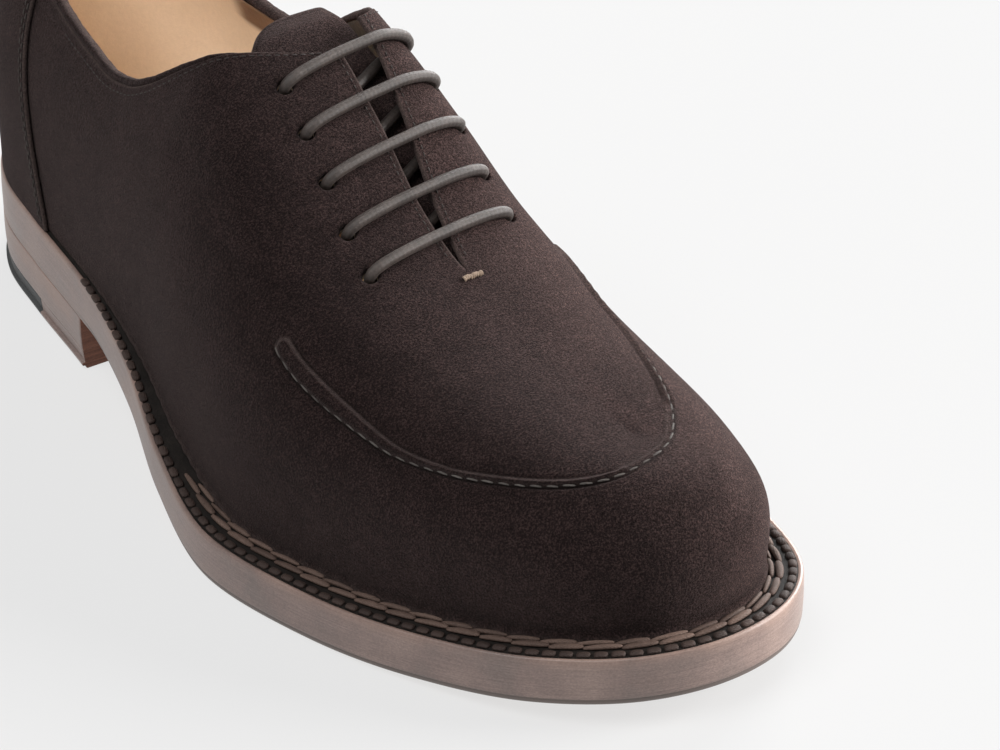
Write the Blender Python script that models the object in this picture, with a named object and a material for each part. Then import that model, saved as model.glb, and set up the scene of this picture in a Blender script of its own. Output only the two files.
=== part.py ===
"""Right-foot suede oxford with a pinched apron seam, a braided Norwegian welt and a stacked heel.

The shoe stands on Z = 0 with its toe toward -Y and the wearer's outer side toward -X.
Shapes are worked out in millimetres as (s, t, z): s runs from the back of the heel to the toe,
t runs toward the outer side of the foot and z is the height above the ground.
"""

import collections
import math

import bmesh
import bpy
import numpy as np
from mathutils import Matrix, Vector

MM = 0.001
NAME = "oxford_shoe"

# Sole and heel heights
HEEL_STACK = 15.5
SEAT_RISE = 0.02
BREAST = 82.0
TREAD_START = 188.0
TREAD_END = 214.0
TOE_SPRING = 8.5
OUTSOLE_T = 5.2
MIDSOLE_T = 3.6
WELT_T = 3.3
LAYER_GAP = 0.3
WELT_TOP = OUTSOLE_T + MIDSOLE_T + WELT_T + 2 * LAYER_GAP
FEATHER_UP = WELT_TOP + LAYER_GAP
INSOLE_T = 2.2
SOCK_T = 1.0

# Welt ledge, measured in plan from the sole edge to the foot of the upper
LEDGE_HEEL = 2.2
LEDGE_FORE = 9.3
LEDGE_FROM = 76.0
LEDGE_TO = 190.0
WELT_BODY = 14.5
RAND_END = 70.0
BRAID_START = 160.0

# Depths of the layers below the outer face of the upper
UPPER_T = 1.5
STIFF_TOP = 2.05
STIFF_T = 0.8
LINING_NEAR = 2.25
LINING_DEEP = 3.3
LINING_T = 0.9
COVER_UP = 1.7
COVER_T = 1.3
INSOLE_INSET = 5.1

# Throat, laces and tongue
TACK = 201.0
LINING_SPLIT = 210.0
TONGUE_BASE = 208.0
FACING_TOP = 136.0
FACING_DROP = 7.0
GAP_HALF = 5.2
EYELETS = 5
COLUMNS = 12
EYELET_FIRST = 190.5
EYELET_PITCH = 11.6
EYELET_OFF = {1: (22.8, 0.0), -1: (20.2, 0.6)}
EYELET_R = 2.05
BAR_SKEW = 1.8
LACE_R = 1.5
LACE_UNDER = LINING_NEAR + LINING_T + LACE_R + 0.5
LACE_TAIL = ((13.0, 1.15), (5.0, 1.1))
AGLET_GAP = 0.3
AGLET_LENGTH = 6.1
TONGUE_T = 1.6
TONGUE_TIP = 118.0
BINDING_UP = 1.95

# Sole outline, heel back first, then the outer side to the toe and the inner side back
OUTLINE = (
    (0, 0), (3, 10), (11, 19), (26, 27), (50, 32), (85, 37.5), (121, 46), (151, 56),
    (186, 63), (222, 57), (252, 46.5), (279, 32), (297, 13), (303, -7), (299, -27),
    (285, -43), (259, -53), (225, -57), (195, -54.5), (160, -46), (125, -37), (85, -33),
    (50, -33), (26, -28), (11, -19), (3, -10),
)

# Ridge of the upper: height, sideways place, and how square the sections are on each side
RIDGE_Z = (
    (0, 108), (60, 107), (90, 109), (110, 113), (125, 114), (140, 108.5), (160, 96.5),
    (183, 80.5), (200, 72.5), (225, 64), (250, 59), (266, 55),
)
RIDGE_T = ((0, 0), (60, -4), (100, -9.5), (140, -11), (160, -9), (183, -5.5), (200, -4), (225, -6), (266, -8))
SQUARE_OUT = ((0, 4), (20, 3.6), (50, 2.9), (90, 2.7), (150, 2.8), (220, 2.65), (260, 2.85), (300, 3.1))
SQUARE_IN = ((0, 4), (20, 3.6), (50, 2.9), (90, 2.8), (120, 3.6), (160, 3.6), (183, 3.4), (220, 2.8), (260, 2.85), (300, 3.1))
TOE_POLE = 262.0
HEEL_POLE = 40.0
SWELL = 1.6

# Topline height along the rear, and the outer seam of the heel cover
INNER_TOP_EXTRA = -0.5
TOPLINE = ((0, 98), (20, 96.5), (45, 92), (70, 87.5), (86, 86.3), (98, 88.3), (108, 93), (118, 100))
COVER_SEAM = ((0, 58), (0.5, 50), (1, 40))

# Pinched apron seam: place on each section, from the ridge (0) to the welt (1)
APRON_START = 187.5
APRON_OUT = (
    (187, 0.515), (197, 0.535), (212, 0.55), (226, 0.557), (243, 0.528), (258, 0.47),
    (272, 0.395), (281, 0.33), (288, 0.27), (294, 0.19),
)
APRON_IN = ((187, 0.47), (210, 0.40), (226, 0.362), (244, 0.305), (257, 0.265), (268, 0.228), (282, 0.185), (294, 0.19))


def smooth(x, start, end):
    """Eased step from 0 to 1 between start and end."""
    u = np.clip((np.asarray(x, float) - start) / (end - start), 0, 1)
    return u * u * (3 - 2 * u)


def curve_through(x, points):
    """Smooth curve through (x, y) points that never overshoots them."""
    px, py = np.array(points, float).T
    step = np.diff(px)
    slope = np.diff(py) / step
    tangent = np.concatenate([[slope[0]], np.zeros(len(px) - 2), [slope[-1]]])
    for i in range(1, len(px) - 1):
        if slope[i - 1] * slope[i] > 0:
            tangent[i] = 2 * slope[i - 1] * slope[i] / (slope[i - 1] + slope[i])
    x = np.clip(np.asarray(x, float), px[0], px[-1])
    k = np.clip(np.searchsorted(px, x) - 1, 0, len(px) - 2)
    h = step[k]
    u = (x - px[k]) / h
    rise = py[k] * (1 + 2 * u) * (1 - u) ** 2 + py[k + 1] * u * u * (3 - 2 * u)
    return rise + h * tangent[k] * u * (1 - u) ** 2 - h * tangent[k + 1] * u * u * (1 - u)


def closed_curve(points, per_span):
    """Centripetal Catmull-Rom loop through plan points."""
    points = np.array(points, float)
    count = len(points)
    out = []
    for i in range(count):
        p = [points[(i + k) % count] for k in (-1, 0, 1, 2)]
        t = [0.0]
        for a, b in zip(p, p[1:]):
            t.append(t[-1] + np.linalg.norm(b - a) ** 0.5)
        for u in np.linspace(t[1], t[2], per_span, endpoint=False):
            a1 = ((t[1] - u) * p[0] + (u - t[0]) * p[1]) / (t[1] - t[0])
            a2 = ((t[2] - u) * p[1] + (u - t[1]) * p[2]) / (t[2] - t[1])
            a3 = ((t[3] - u) * p[2] + (u - t[2]) * p[3]) / (t[3] - t[2])
            b1 = ((t[2] - u) * a1 + (u - t[0]) * a2) / (t[2] - t[0])
            b2 = ((t[3] - u) * a2 + (u - t[1]) * a3) / (t[3] - t[1])
            out.append(((t[2] - u) * b1 + (u - t[1]) * b2) / (t[2] - t[1]))
    return np.array(out)


def inset(loop, distance):
    """Plan loop moved inward, by one distance or by one for each point."""
    ahead = np.roll(loop, -1, 0) - np.roll(loop, 1, 0)
    ahead /= np.linalg.norm(ahead, axis=1)[:, None]
    inward = np.stack([ahead[:, 1], -ahead[:, 0]], 1)
    return loop + inward * np.broadcast_to(distance, len(loop))[:, None]


def sides_of(loop):
    """Outer and inner branch of a plan loop, each from the heel to the toe."""
    loop = np.roll(loop, -int(np.argmin(loop[:, 0])), 0)
    toe = int(np.argmax(loop[:, 0]))
    outer = loop[: toe + 1]
    inner = np.concatenate([loop[toe:], loop[:1]])[::-1]
    return outer, inner


def ledge(s):
    return LEDGE_HEEL + (LEDGE_FORE - LEDGE_HEEL) * smooth(s, LEDGE_FROM, LEDGE_TO)


def under(s):
    """Height of the sole's underside."""
    s = np.asarray(s, float)
    seat = HEEL_STACK + (BREAST - s) * SEAT_RISE
    shank = HEEL_STACK * (1 - smooth(s, BREAST, TREAD_START))
    toe = TOE_SPRING * (np.clip(s - TREAD_END, 0, None) / (303 - TREAD_END)) ** 2
    return np.where(s < BREAST, seat, np.where(s < TREAD_START, shank, toe))


def ridge_place(s):
    """Ridge position that a section starting at s on the welt reaches."""
    s = np.asarray(s, float)
    toe = 200 + (TOE_POLE - 200) * np.sin(np.clip((s - 200) / 96, 0, 1) * math.pi / 2)
    heel = 100 - (100 - HEEL_POLE) * np.sin(np.clip((100 - s) / 100, 0, 1) * math.pi / 2)
    return np.where(s > 200, toe, np.where(s < 100, heel, s))


def section(s, t, side, count):
    """One half section of the upper, from the ridge down to the welt."""
    v = np.linspace(1, 0, count)
    rs = float(ridge_place(s))
    rz = float(curve_through(rs, RIDGE_Z))
    rt = float(curve_through(rs, RIDGE_T))
    power = 2 / float(curve_through(s, SQUARE_OUT if side > 0 else SQUARE_IN))
    across = np.cos(v * math.pi / 2).clip(0) ** power
    up = np.sin(v * math.pi / 2) ** power
    swell = SWELL * np.sin(np.clip(v * 2.2, 0, 1) * math.pi)
    reach = max(math.hypot(s - rs, t - rt), 1e-6)
    foot = float(under(s)) + FEATHER_UP
    return np.stack(
        [
            rs + (s - rs) * (across + swell / reach),
            rt + (t - rt) * (across + swell / reach),
            foot + (rz - foot) * up,
        ],
        1,
    )


class Last:
    """Outer face of the upper as a fine grid that layers and seams are read from."""

    ROWS = 220
    COLUMNS = 60

    def __init__(self, loop):
        outer, inner = sides_of(loop)
        self.first = loop[:, 0].min()
        self.final = loop[:, 0].max()
        turn = np.linspace(0, math.pi, self.ROWS + 1)
        stations = self.first + (self.final - self.first) * (1 - np.cos(turn)) / 2
        grid = np.zeros((self.ROWS + 1, 2 * self.COLUMNS + 1, 3))
        self.lengths = {}
        for side, branch in ((1, outer), (-1, inner)):
            lengths = []
            for row, s in enumerate(stations):
                fine = section(s, float(np.interp(s, branch[:, 0], branch[:, 1])), side, 160)
                run = np.concatenate([[0], np.cumsum(np.linalg.norm(np.diff(fine, axis=0), axis=1))])
                lengths.append(run[-1])
                even = np.linspace(0, run[-1], self.COLUMNS + 1)
                half = np.stack([np.interp(even, run, fine[:, k]) for k in range(3)], 1)
                columns = self.COLUMNS - np.arange(self.COLUMNS + 1) * side
                grid[row, columns] = half
            self.lengths[side] = np.array(lengths)
        grid[-1] = (grid[-1] + grid[-1, ::-1]) / 2
        grid[0] = (grid[0] + grid[0, ::-1]) / 2
        self.grid = grid
        self.normals = self.outward(grid)

    def outward(self, grid):
        padded = np.concatenate([grid[1:2, ::-1], grid, grid[-2:-1, ::-1]])
        along = padded[2:] - padded[:-2]
        across = np.gradient(grid, axis=1)
        normal = np.cross(along, across)
        normal[-1, self.COLUMNS] = normal[-2, self.COLUMNS]
        normal[0, self.COLUMNS] = normal[1, self.COLUMNS]
        normal /= np.linalg.norm(normal, axis=2)[:, :, None]
        if normal[self.ROWS // 2, self.COLUMNS, 2] < 0:
            normal = -normal
        return normal

    def row(self, s):
        u = np.clip((np.asarray(s, float) - self.first) / (self.final - self.first), 0, 1)
        return np.arccos(1 - 2 * u) / math.pi * self.ROWS

    def read(self, table, s, w):
        r = self.row(s)
        c = (1 - np.asarray(w, float)) * self.COLUMNS
        r, c = np.broadcast_arrays(r, c)
        r0 = np.clip(np.floor(r).astype(int), 0, self.ROWS - 1)
        c0 = np.clip(np.floor(c).astype(int), 0, 2 * self.COLUMNS - 1)
        fr = (r - r0)[..., None]
        fc = (c - c0)[..., None]
        low = table[r0, c0] * (1 - fc) + table[r0, c0 + 1] * fc
        high = table[r0 + 1, c0] * (1 - fc) + table[r0 + 1, c0 + 1] * fc
        return low * (1 - fr) + high * fr

    def at(self, s, w, depth=0.0):
        """Point at section s; w is 0 on the ridge, 1 at the outer foot and -1 at the inner foot."""
        normal = self.read(self.normals, s, w)
        normal /= np.linalg.norm(normal, axis=-1)[..., None]
        return self.read(self.grid, s, w) - normal * np.broadcast_to(depth, normal.shape[:-1])[..., None]

    def off_ridge(self, s, distance, side):
        """Signed w that lies this far from the ridge, along the surface."""
        length = np.interp(self.row(s), np.arange(self.ROWS + 1), self.lengths[side])
        return side * np.asarray(distance) / length

    def at_height(self, s, height, side):
        """Signed w whose point on section s has this height."""
        steps = np.linspace(0, 1, 400)
        found = []
        for a, b in zip(np.ravel(s), np.ravel(height)):
            z = self.at(a, side * steps)[:, 2]
            found.append(np.interp(-b, -z, steps))
        return side * np.array(found)


def new_collection(name):
    found = bpy.data.collections.new(name)
    bpy.context.scene.collection.children.link(found)
    return found


def material(name, colour, rough):
    made = bpy.data.materials.new(name)
    made.use_nodes = True
    shader = made.node_tree.nodes["Principled BSDF"]
    shader.inputs["Base Color"].default_value = (*colour, 1)
    shader.inputs["Roughness"].default_value = rough
    return made


def place(points):
    """World coordinates of (s, t, z) points."""
    points = np.asarray(points, float)
    return np.stack([MID_T - points[..., 1], MID_S - points[..., 0], points[..., 2]], -1) * MM


def add(name, data, colour, rough):
    obj = bpy.data.objects.new(name, data)
    data.materials.append(material(name, colour, rough))
    PARTS.objects.link(obj)
    return obj


def solid(name, grids, colour, rough=0.8):
    """Closed body between two faces, each given as grids of points that are welded where they meet.

    The two faces may share an edge's points only where the body is folded shut.
    """
    index = {}
    top = []
    low = []
    faces = []
    for upper, lower in grids:
        rows, columns = upper.shape[:2]
        ids = np.zeros((rows, columns), int)
        for r in range(rows):
            for c in range(columns):
                key = tuple(np.round(upper[r, c], 2))
                if key not in index:
                    index[key] = len(top)
                    top.append(upper[r, c])
                    low.append(lower[r, c])
                ids[r, c] = index[key]
        for r in range(rows - 1):
            for c in range(columns - 1):
                corners = [ids[r, c], ids[r, c + 1], ids[r + 1, c + 1], ids[r + 1, c]]
                face = [v for i, v in enumerate(corners) if v != corners[i - 1]]
                if len(face) > 2:
                    faces.append(face)
    edges = collections.Counter(tuple(sorted((f[i - 1], f[i]))) for f in faces for i in range(len(f)))
    count = len(top)
    rims = [(b, a, a + count, b + count) for (a, b), uses in edges.items() if uses == 1]
    under_faces = [[v + count for v in reversed(f)] for f in faces]
    mesh = bpy.data.meshes.new(name)
    points = place(np.array(top + low))
    mesh.from_pydata(points.tolist(), [], faces + under_faces + sorted(rims))
    work = bmesh.new()
    work.from_mesh(mesh)
    bmesh.ops.recalc_face_normals(work, faces=work.faces)
    work.to_mesh(mesh)
    work.free()
    return add(name, mesh, colour, rough)


def cord(name, points, radius, colour, rough=0.8, sides=1):
    """Round cord through (s, t, z) points."""
    data = bpy.data.curves.new(name, "CURVE")
    data.dimensions = "3D"
    data.bevel_depth = radius * MM
    data.bevel_resolution = sides
    data.use_fill_caps = True
    spline = data.splines.new("POLY")
    spline.points.add(len(points) - 1)
    for point, place_at in zip(spline.points, place(points)):
        point.co = (*place_at, 1)
    return add(name, data, colour, rough)


def slab(name, loop, start, end, low, high, colour, rough=0.8, count=40):
    """Layer inside a plan loop between two sections, with heights above the sole's underside."""
    outer, inner = sides_of(loop)
    start = max(start, outer[0, 0])
    end = min(end, outer[-1, 0])
    s = start + (end - start) * (1 - np.cos(np.linspace(0, math.pi, count))) / 2
    edges = [np.interp(s, branch[:, 0], branch[:, 1]) for branch in (outer, inner)]
    plan = np.stack([np.stack([s, t], 1) for t in edges], 1)
    upper = np.concatenate([plan, high(plan[..., :1])], 2)
    lower = np.concatenate([plan, low(plan[..., :1])], 2)
    return solid(name, [(upper, lower)], colour, rough)


def above(height):
    """Height function that follows the sole's underside."""
    return lambda s: under(s) + height


def flat(height):
    return lambda s: np.zeros_like(s) + height


def strip(name, loop, keep, depth, low, high, colour, rough=0.8, count=70):
    """Band of even width along part of a plan loop."""
    inner = inset(loop, depth)
    path = np.where(keep)[0]
    run = np.concatenate([[0], np.cumsum(np.linalg.norm(np.diff(loop[path], axis=0), axis=1))])
    even = np.linspace(0, run[-1], count)
    sheet = np.stack(
        [np.stack([np.interp(even, run, side[path, k]) for k in (0, 1)], 1) for side in (loop, inner)], 1
    )
    rise = sheet[..., :1]
    upper = np.concatenate([sheet, high(rise)], 2)
    lower = np.concatenate([sheet, low(rise)], 2)
    return solid(name, [(upper, lower)], colour, rough)


def build_bottom():
    """Sole layers, welt, rand and the parts inside them."""
    leather = (0.29, 0.22, 0.18)
    heel_first = np.roll(OUTER, -int(np.argmin(OUTER[:, 0])), 0)
    toe_first = np.roll(OUTER, -int(np.argmax(OUTER[:, 0])), 0)
    middle = OUTSOLE_T + LAYER_GAP
    welt_low = middle + MIDSOLE_T + LAYER_GAP
    slab("outsole", OUTER, 0, 400, above(0), above(OUTSOLE_T), leather, 0.5, 46)
    slab("midsole", OUTER, 0, 400, above(middle), above(middle + MIDSOLE_T), leather, 0.5, 46)
    keep = heel_first[:, 0] > RAND_END + 0.6
    strip("norwegian_welt", heel_first, keep, WELT_BODY, above(welt_low), above(WELT_TOP), leather, 0.55)
    keep = toe_first[:, 0] < RAND_END
    strip("heel_rand", toe_first, keep, 9.0, above(welt_low), above(WELT_TOP), leather, 0.55, 36)
    filler = inset(OUTER, WELT_BODY + 0.8)
    slab("cork_filler", filler, 178, 400, above(welt_low), above(WELT_TOP), (0.45, 0.3, 0.17), 0.9, 26)
    bar = np.array([(64, 7.5), (170, 7.5), (170.01, -7.5), (64.01, -7.5)])
    slab("shank", bar, 60, 400, above(welt_low), above(welt_low + 1.2), (0.5, 0.5, 0.52), 0.35, 24)
    inside = inset(FOOT, INSOLE_INSET)
    floor = FEATHER_UP
    slab("insole", inside, 0, 400, above(floor), above(floor + INSOLE_T), (0.55, 0.4, 0.26), 0.8, 44)
    sock_low = floor + INSOLE_T + LAYER_GAP
    sock = inset(FOOT, INSOLE_INSET + 0.3)
    slab("sock_liner", sock, 0, 400, above(sock_low), above(sock_low + SOCK_T), (0.74, 0.56, 0.38), 0.6, 44)


def build_heel():
    """Stacked heel: two lifts, a seat lift, and a top piece with a rubber quarter tip."""
    leather = (0.28, 0.21, 0.17)
    top = 5.6
    lift = 3.0
    split = 52.0
    trimmed = inset(OUTER, 0.8)
    slab("top_piece_rubber", trimmed, 0, split, flat(0), flat(top), (0.06, 0.06, 0.065), 0.7, 20)
    slab("top_piece_leather", trimmed, split + 0.3, BREAST, flat(0), flat(top), leather, 0.5, 6)
    low = top + LAYER_GAP
    for name in ("heel_lift_lower", "heel_lift_middle"):
        slab(name, inset(OUTER, 0.6), 0, BREAST, flat(low), flat(low + lift), leather, 0.5, 24)
        low += lift + LAYER_GAP
    slab("heel_lift_seat", inset(OUTER, 0.4), 0, BREAST, flat(low), above(-LAYER_GAP), leather, 0.5, 24)


def lining_depth(s):
    """Depth of the lining's outer face: deeper where a stiffener lies behind it."""
    deep = np.maximum(1 - smooth(s, 62, 80), smooth(s, 236, 252))
    return LINING_NEAR + (LINING_DEEP - LINING_NEAR) * deep


def throat_edge(s, side):
    """Signed w of the topline and, ahead of it, of the facing edge."""
    s = np.asarray(s, float)
    last_height = TOPLINE[-1][0]
    height = curve_through(s, TOPLINE) + (INNER_TOP_EXTRA * smooth(s, 10, 70) if side < 0 else 0)
    rear = LAST.at_height(np.minimum(s, last_height), height, side)
    top = FACING_TOP + (FACING_DROP if side > 0 else 0)
    corner = (top - s) / (top - last_height)
    half = GAP_HALF * np.clip((TACK - s) / (TACK - FACING_TOP), 0, 1) ** 0.9
    facing = LAST.off_ridge(s, half, side)
    mix = np.clip(corner, 0, 1) ** 0.62
    return np.where(s <= last_height, rear, facing + (rear - facing) * mix)


def stations(start, end, count, fixed=()):
    """Sections spaced evenly by turn, with the fixed ones included."""
    rows = np.linspace(LAST.row(start), LAST.row(end), count)
    turn = rows / LAST.ROWS * math.pi
    even = LAST.first + (LAST.final - LAST.first) * (1 - np.cos(turn)) / 2
    for value in fixed:
        even[np.argmin(abs(even - value))] = value
    return even


def rows_between(start, end):
    """The shared sections from start to end, both included."""
    inside = SECTIONS[(SECTIONS > start + 1.5) & (SECTIONS < end - 1.5)]
    return np.concatenate([[start], inside, [end]])


def shell_of(s, w, outer, inner):
    """Outer and inner faces of a patch, from arrays of s and w and the depths of the two faces."""
    return LAST.at(s, w, outer), LAST.at(s, w, inner)


def half_patch(s, start_w, end_w, columns):
    """Arrays of s and w for a patch that runs from start_w to end_w in each section."""
    u = np.linspace(0, 1, columns)
    w = np.asarray(start_w)[:, None] + (np.asarray(end_w) - start_w)[:, None] * u
    return np.broadcast_to(s[:, None], w.shape), w


def heel_wrap(seam, columns, rows, foot_w, side_top):
    """Arrays of s and w for a patch around the back of the heel, from seam to seam."""
    s_rows = []
    w_rows = []
    for level in np.linspace(0, 1, rows):
        edge = float(curve_through(level, seam))
        s_half = stations(LAST.first, edge, columns)
        for_side = []
        for side in (1, -1):
            top = side_top(s_half, side)
            for_side.append(side * foot_w + (top - side * foot_w) * level)
        s_rows.append(np.concatenate([s_half[::-1], s_half[1:]]))
        w_rows.append(np.concatenate([for_side[0][::-1], for_side[1][1:]]))
    return np.array(s_rows), np.array(w_rows)


def build_upper():
    """Wholecut, heel cover, stiffeners and linings."""
    suede = (0.032, 0.022, 0.020)
    rear = 44.0
    s = rows_between(rear, LAST.final)
    halves = []
    for side in (1, -1):
        edge = np.where(s < TACK, throat_edge(s, side), 0)
        halves.append(shell_of(*half_patch(s, side * np.ones(len(s)), edge, COLUMNS), 0, UPPER_T))
    upper = solid("wholecut_upper", halves, suede, 0.95)
    sw = heel_wrap(COVER_SEAM, 13, 9, 1, throat_edge)
    solid("heel_cover", [shell_of(*sw, -COVER_UP, COVER_T - COVER_UP)], suede, 0.95)
    stiff_seam = ((0, 62), (1, 52))
    sw = heel_wrap(stiff_seam, 11, 7, 0.98, lambda a, side: LAST.at_height(a, 72 + 0 * a, side))
    board = (0.5, 0.42, 0.3)
    solid("heel_stiffener", [shell_of(*sw, STIFF_TOP, STIFF_TOP + STIFF_T)], board, 0.9)
    s = rows_between(256, LAST.final)
    w = np.broadcast_to(np.linspace(0.97, -0.97, 2 * COLUMNS - 1), (len(s), 2 * COLUMNS - 1))
    solid("toe_puff", [shell_of(s[:, None], w, STIFF_TOP, STIFF_TOP + STIFF_T)], board, 0.9)
    tan = (0.42, 0.24, 0.13)
    quarter = []
    s = rows_between(LAST.first, LINING_SPLIT - 0.3)
    for side in (1, -1):
        edge = throat_edge(s, side)
        depth = lining_depth(s)[:, None]
        quarter.append(shell_of(*half_patch(s, side * 0.98 * np.ones(len(s)), edge, COLUMNS), depth, depth + LINING_T))
    lining = solid("quarter_lining", quarter, tan, 0.5)
    s = rows_between(LINING_SPLIT + 0.3, LAST.final)
    w = np.broadcast_to(np.linspace(0.98, -0.98, 2 * COLUMNS - 1), (len(s), 2 * COLUMNS - 1))
    depth = lining_depth(s)[:, None]
    solid("vamp_lining", [shell_of(s[:, None], w, depth, depth + LINING_T)], (0.5, 0.38, 0.26), 0.7)
    return upper, lining


def eyelets(side):
    """(s, w) of the eyelets on one side, from the throat up."""
    s = EYELET_FIRST - EYELET_PITCH * np.arange(EYELETS) + BAR_SKEW * side
    first, narrowing = EYELET_OFF[side]
    return s, LAST.off_ridge(s, first - narrowing * np.arange(EYELETS), side)


def cut_eyelets(targets):
    """Round holes for the laces, through the facings and their lining."""
    work = bmesh.new()
    for side in (1, -1):
        s, w = eyelets(side)
        for a, b in zip(s, w):
            start = place(LAST.at(a, b, -2.5))
            end = place(LAST.at(a, b, LINING_NEAR + LINING_T + 1.5))
            axis = Vector(end - start)
            turn = axis.to_track_quat("Z", "Y").to_matrix().to_4x4()
            middle = Matrix.Translation(Vector((start + end) / 2))
            bmesh.ops.create_cone(
                work, cap_ends=True, segments=10, radius1=EYELET_R * MM, radius2=EYELET_R * MM,
                depth=axis.length, matrix=middle @ turn,
            )
    mesh = bpy.data.meshes.new("eyelet_cutter")
    work.to_mesh(mesh)
    work.free()
    cutter = bpy.data.objects.new("eyelet_cutter", mesh)
    CUTTERS.objects.link(cutter)
    cutter.hide_render = True
    cutter.display_type = "WIRE"
    for target in targets:
        cut = target.modifiers.new("eyelets", "BOOLEAN")
        cut.operation = "DIFFERENCE"
        cut.solver = "EXACT"
        cut.object = cutter


def tongue_depth(s):
    """Depth of the tongue's outer face: it dips under the crossing laces."""
    start = LINING_NEAR + LINING_T + 0.4
    deep = LACE_UNDER + LACE_R + 0.8
    return start + (deep - start) * (1 - smooth(s, 195, 206))


def build_tongue():
    suede = (0.034, 0.024, 0.022)
    s = np.linspace(TONGUE_TIP, TONGUE_BASE, 19)
    half = curve_through(s, ((TONGUE_TIP, 13), (122, 20), (130, 25), (160, 24), (188, 17.5), (TONGUE_BASE, 15)))
    halves = {}
    for name, top, thick in (("tongue", 0, TONGUE_T), ("tongue_lining", TONGUE_T + 0.3, 0.9)):
        w0 = LAST.off_ridge(s, half, 1)
        w1 = LAST.off_ridge(s, half, -1)
        depth = (tongue_depth(s) + top)[:, None]
        halves[name] = [shell_of(*half_patch(s, w0, w1, 9), depth, depth + thick)]
    solid("tongue", halves["tongue"], suede, 0.95)
    solid("tongue_lining", halves["tongue_lining"], (0.42, 0.25, 0.14), 0.6)


def lace_route():
    """Lace centre line: straight bars over the facings and slanting runs below them."""
    outer = eyelets(1)
    inner = eyelets(-1)
    route = []

    def over(i):
        u = np.linspace(0, 1, 7)
        s = inner[0][i] + (outer[0][i] - inner[0][i]) * u
        w = inner[1][i] + (outer[1][i] - inner[1][i]) * u
        lift = LACE_R + 0.6 + 0.5 * np.sin(u * math.pi)
        lift[[0, -1]] = LACE_R + 0.35
        return list(LAST.at(s, w, -lift))

    def below(i, j):
        u = np.linspace(0, 1, 6)
        s = outer[0][i] + (inner[0][j] - outer[0][i]) * u
        w = outer[1][i] + (inner[1][j] - outer[1][i]) * u
        return list(LAST.at(s, w, LACE_UNDER))

    s, w = inner[0][0], inner[1][0]
    route += [LAST.at(s - away, w * wider, LACE_UNDER) for away, wider in LACE_TAIL]
    route.append(LAST.at(s, w, LACE_UNDER))
    for i in range(EYELETS):
        route += over(i)
        if i < EYELETS - 1:
            route += below(i, i + 1)
    s, w = outer[0][-1], outer[1][-1]
    route.append(LAST.at(s, w, LACE_UNDER))
    route += [LAST.at(s + away, w * wider, LACE_UNDER) for away, wider in LACE_TAIL[::-1]]
    return np.array(route)


def build_laces():
    grey = (0.14, 0.11, 0.10)
    route = lace_route()
    cord("lace", route, LACE_R, grey, 0.8, 1)
    for name, tip, before in (("aglet_inner", route[0], route[1]), ("aglet_outer", route[-1], route[-2])):
        ahead = (tip - before) / np.linalg.norm(tip - before)
        ends = np.array([tip + ahead * AGLET_GAP, tip + ahead * (AGLET_GAP + AGLET_LENGTH)])
        cord(name, ends, LACE_R * 0.8, (0.05, 0.04, 0.04), 0.3, 1)


def around_welt(distance, rise, start, count):
    """Path along the welt ledge, this far out from the foot of the upper."""
    loop = np.roll(FOOT, -int(np.argmin(FOOT[:, 0])), 0)
    path = inset(loop, -distance(loop[:, 0]))
    path = path[loop[:, 0] > start]
    run = np.concatenate([[0], np.cumsum(np.linalg.norm(np.diff(path, axis=0), axis=1))])
    even = np.linspace(0, run[-1], count)
    plan = np.stack([np.interp(even, run, path[:, k]) for k in (0, 1)], 1)
    return np.concatenate([plan, (under(plan[:, 0]) + WELT_TOP + rise)[:, None]], 1)


def build_threads():
    """Welt braid, welt stitching, apron ridge, cover seams, topline binding and throat tack."""
    thread = (0.16, 0.10, 0.08)
    braid = 1.1
    for name, share in (("norwegian_braid_upper", 0.27), ("norwegian_braid_lower", 0.56)):
        cord(name, around_welt(lambda s: ledge(s) * share, braid + 0.3, BRAID_START, 60), braid, thread, 0.8, 1)
    cord("welt_stitching", around_welt(lambda s: ledge(s) * 0.85, 0.9, 92, 64), 0.6, thread, 0.8, 1)
    suede = (0.045, 0.032, 0.029)
    cord("apron_ridge", apron_route(), 1.3, suede, 0.9, 1)
    for side, where in ((1, "outer"), (-1, "inner")):
        for number, back in ((1, 1.6), (2, 3.6)):
            level = np.linspace(0.06, 0.96, 14)
            s = curve_through(level, COVER_SEAM) - back
            top = throat_edge(s, side)
            w = side + (top - side) * level
            name = f"cover_stitching_{where}_{number}"
            cord(name, LAST.at(s, w, -COVER_UP - 0.55), 0.35, thread, 0.8, 1)
    cord("topline_binding", topline_route(), 0.9, suede, 0.9, 1)
    tack = np.linspace(-2.6, 2.6, 4)
    points = [LAST.at(TACK + 2, LAST.off_ridge(TACK + 2, abs(x), 1 if x > 0 else -1), -1.0) for x in tack]
    cord("bar_tack", np.array(points), 0.7, (0.5, 0.4, 0.3), 0.8, 1)


def apron_route():
    """Centre line of the pinched seam, from the outer side round the toe to the inner side."""
    s = stations(APRON_START, LAST.final, 34)
    there = LAST.at(s, curve_through(s, APRON_OUT), -1.6)
    back = LAST.at(s[::-1], -curve_through(s[::-1], APRON_IN), -1.6)
    return np.concatenate([there, back[1:]])


def topline_route():
    """Centre line of the binding on the top edge, from facing to facing round the heel."""
    s = stations(LAST.first, TOPLINE[-1][0], 30)
    halves = []
    for side in (1, -1):
        edge = throat_edge(s, side)
        centre = LAST.at(s, edge, 1.3)
        below = LAST.at(s, edge + side * 0.03, 1.3)
        up = centre - below
        up /= np.linalg.norm(up, axis=1)[:, None]
        halves.append(centre + up * BINDING_UP)
    return np.concatenate([halves[0][::-1], halves[1][1:]])


def clear_scene():
    for obj in list(bpy.data.objects):
        bpy.data.objects.remove(obj)


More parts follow.
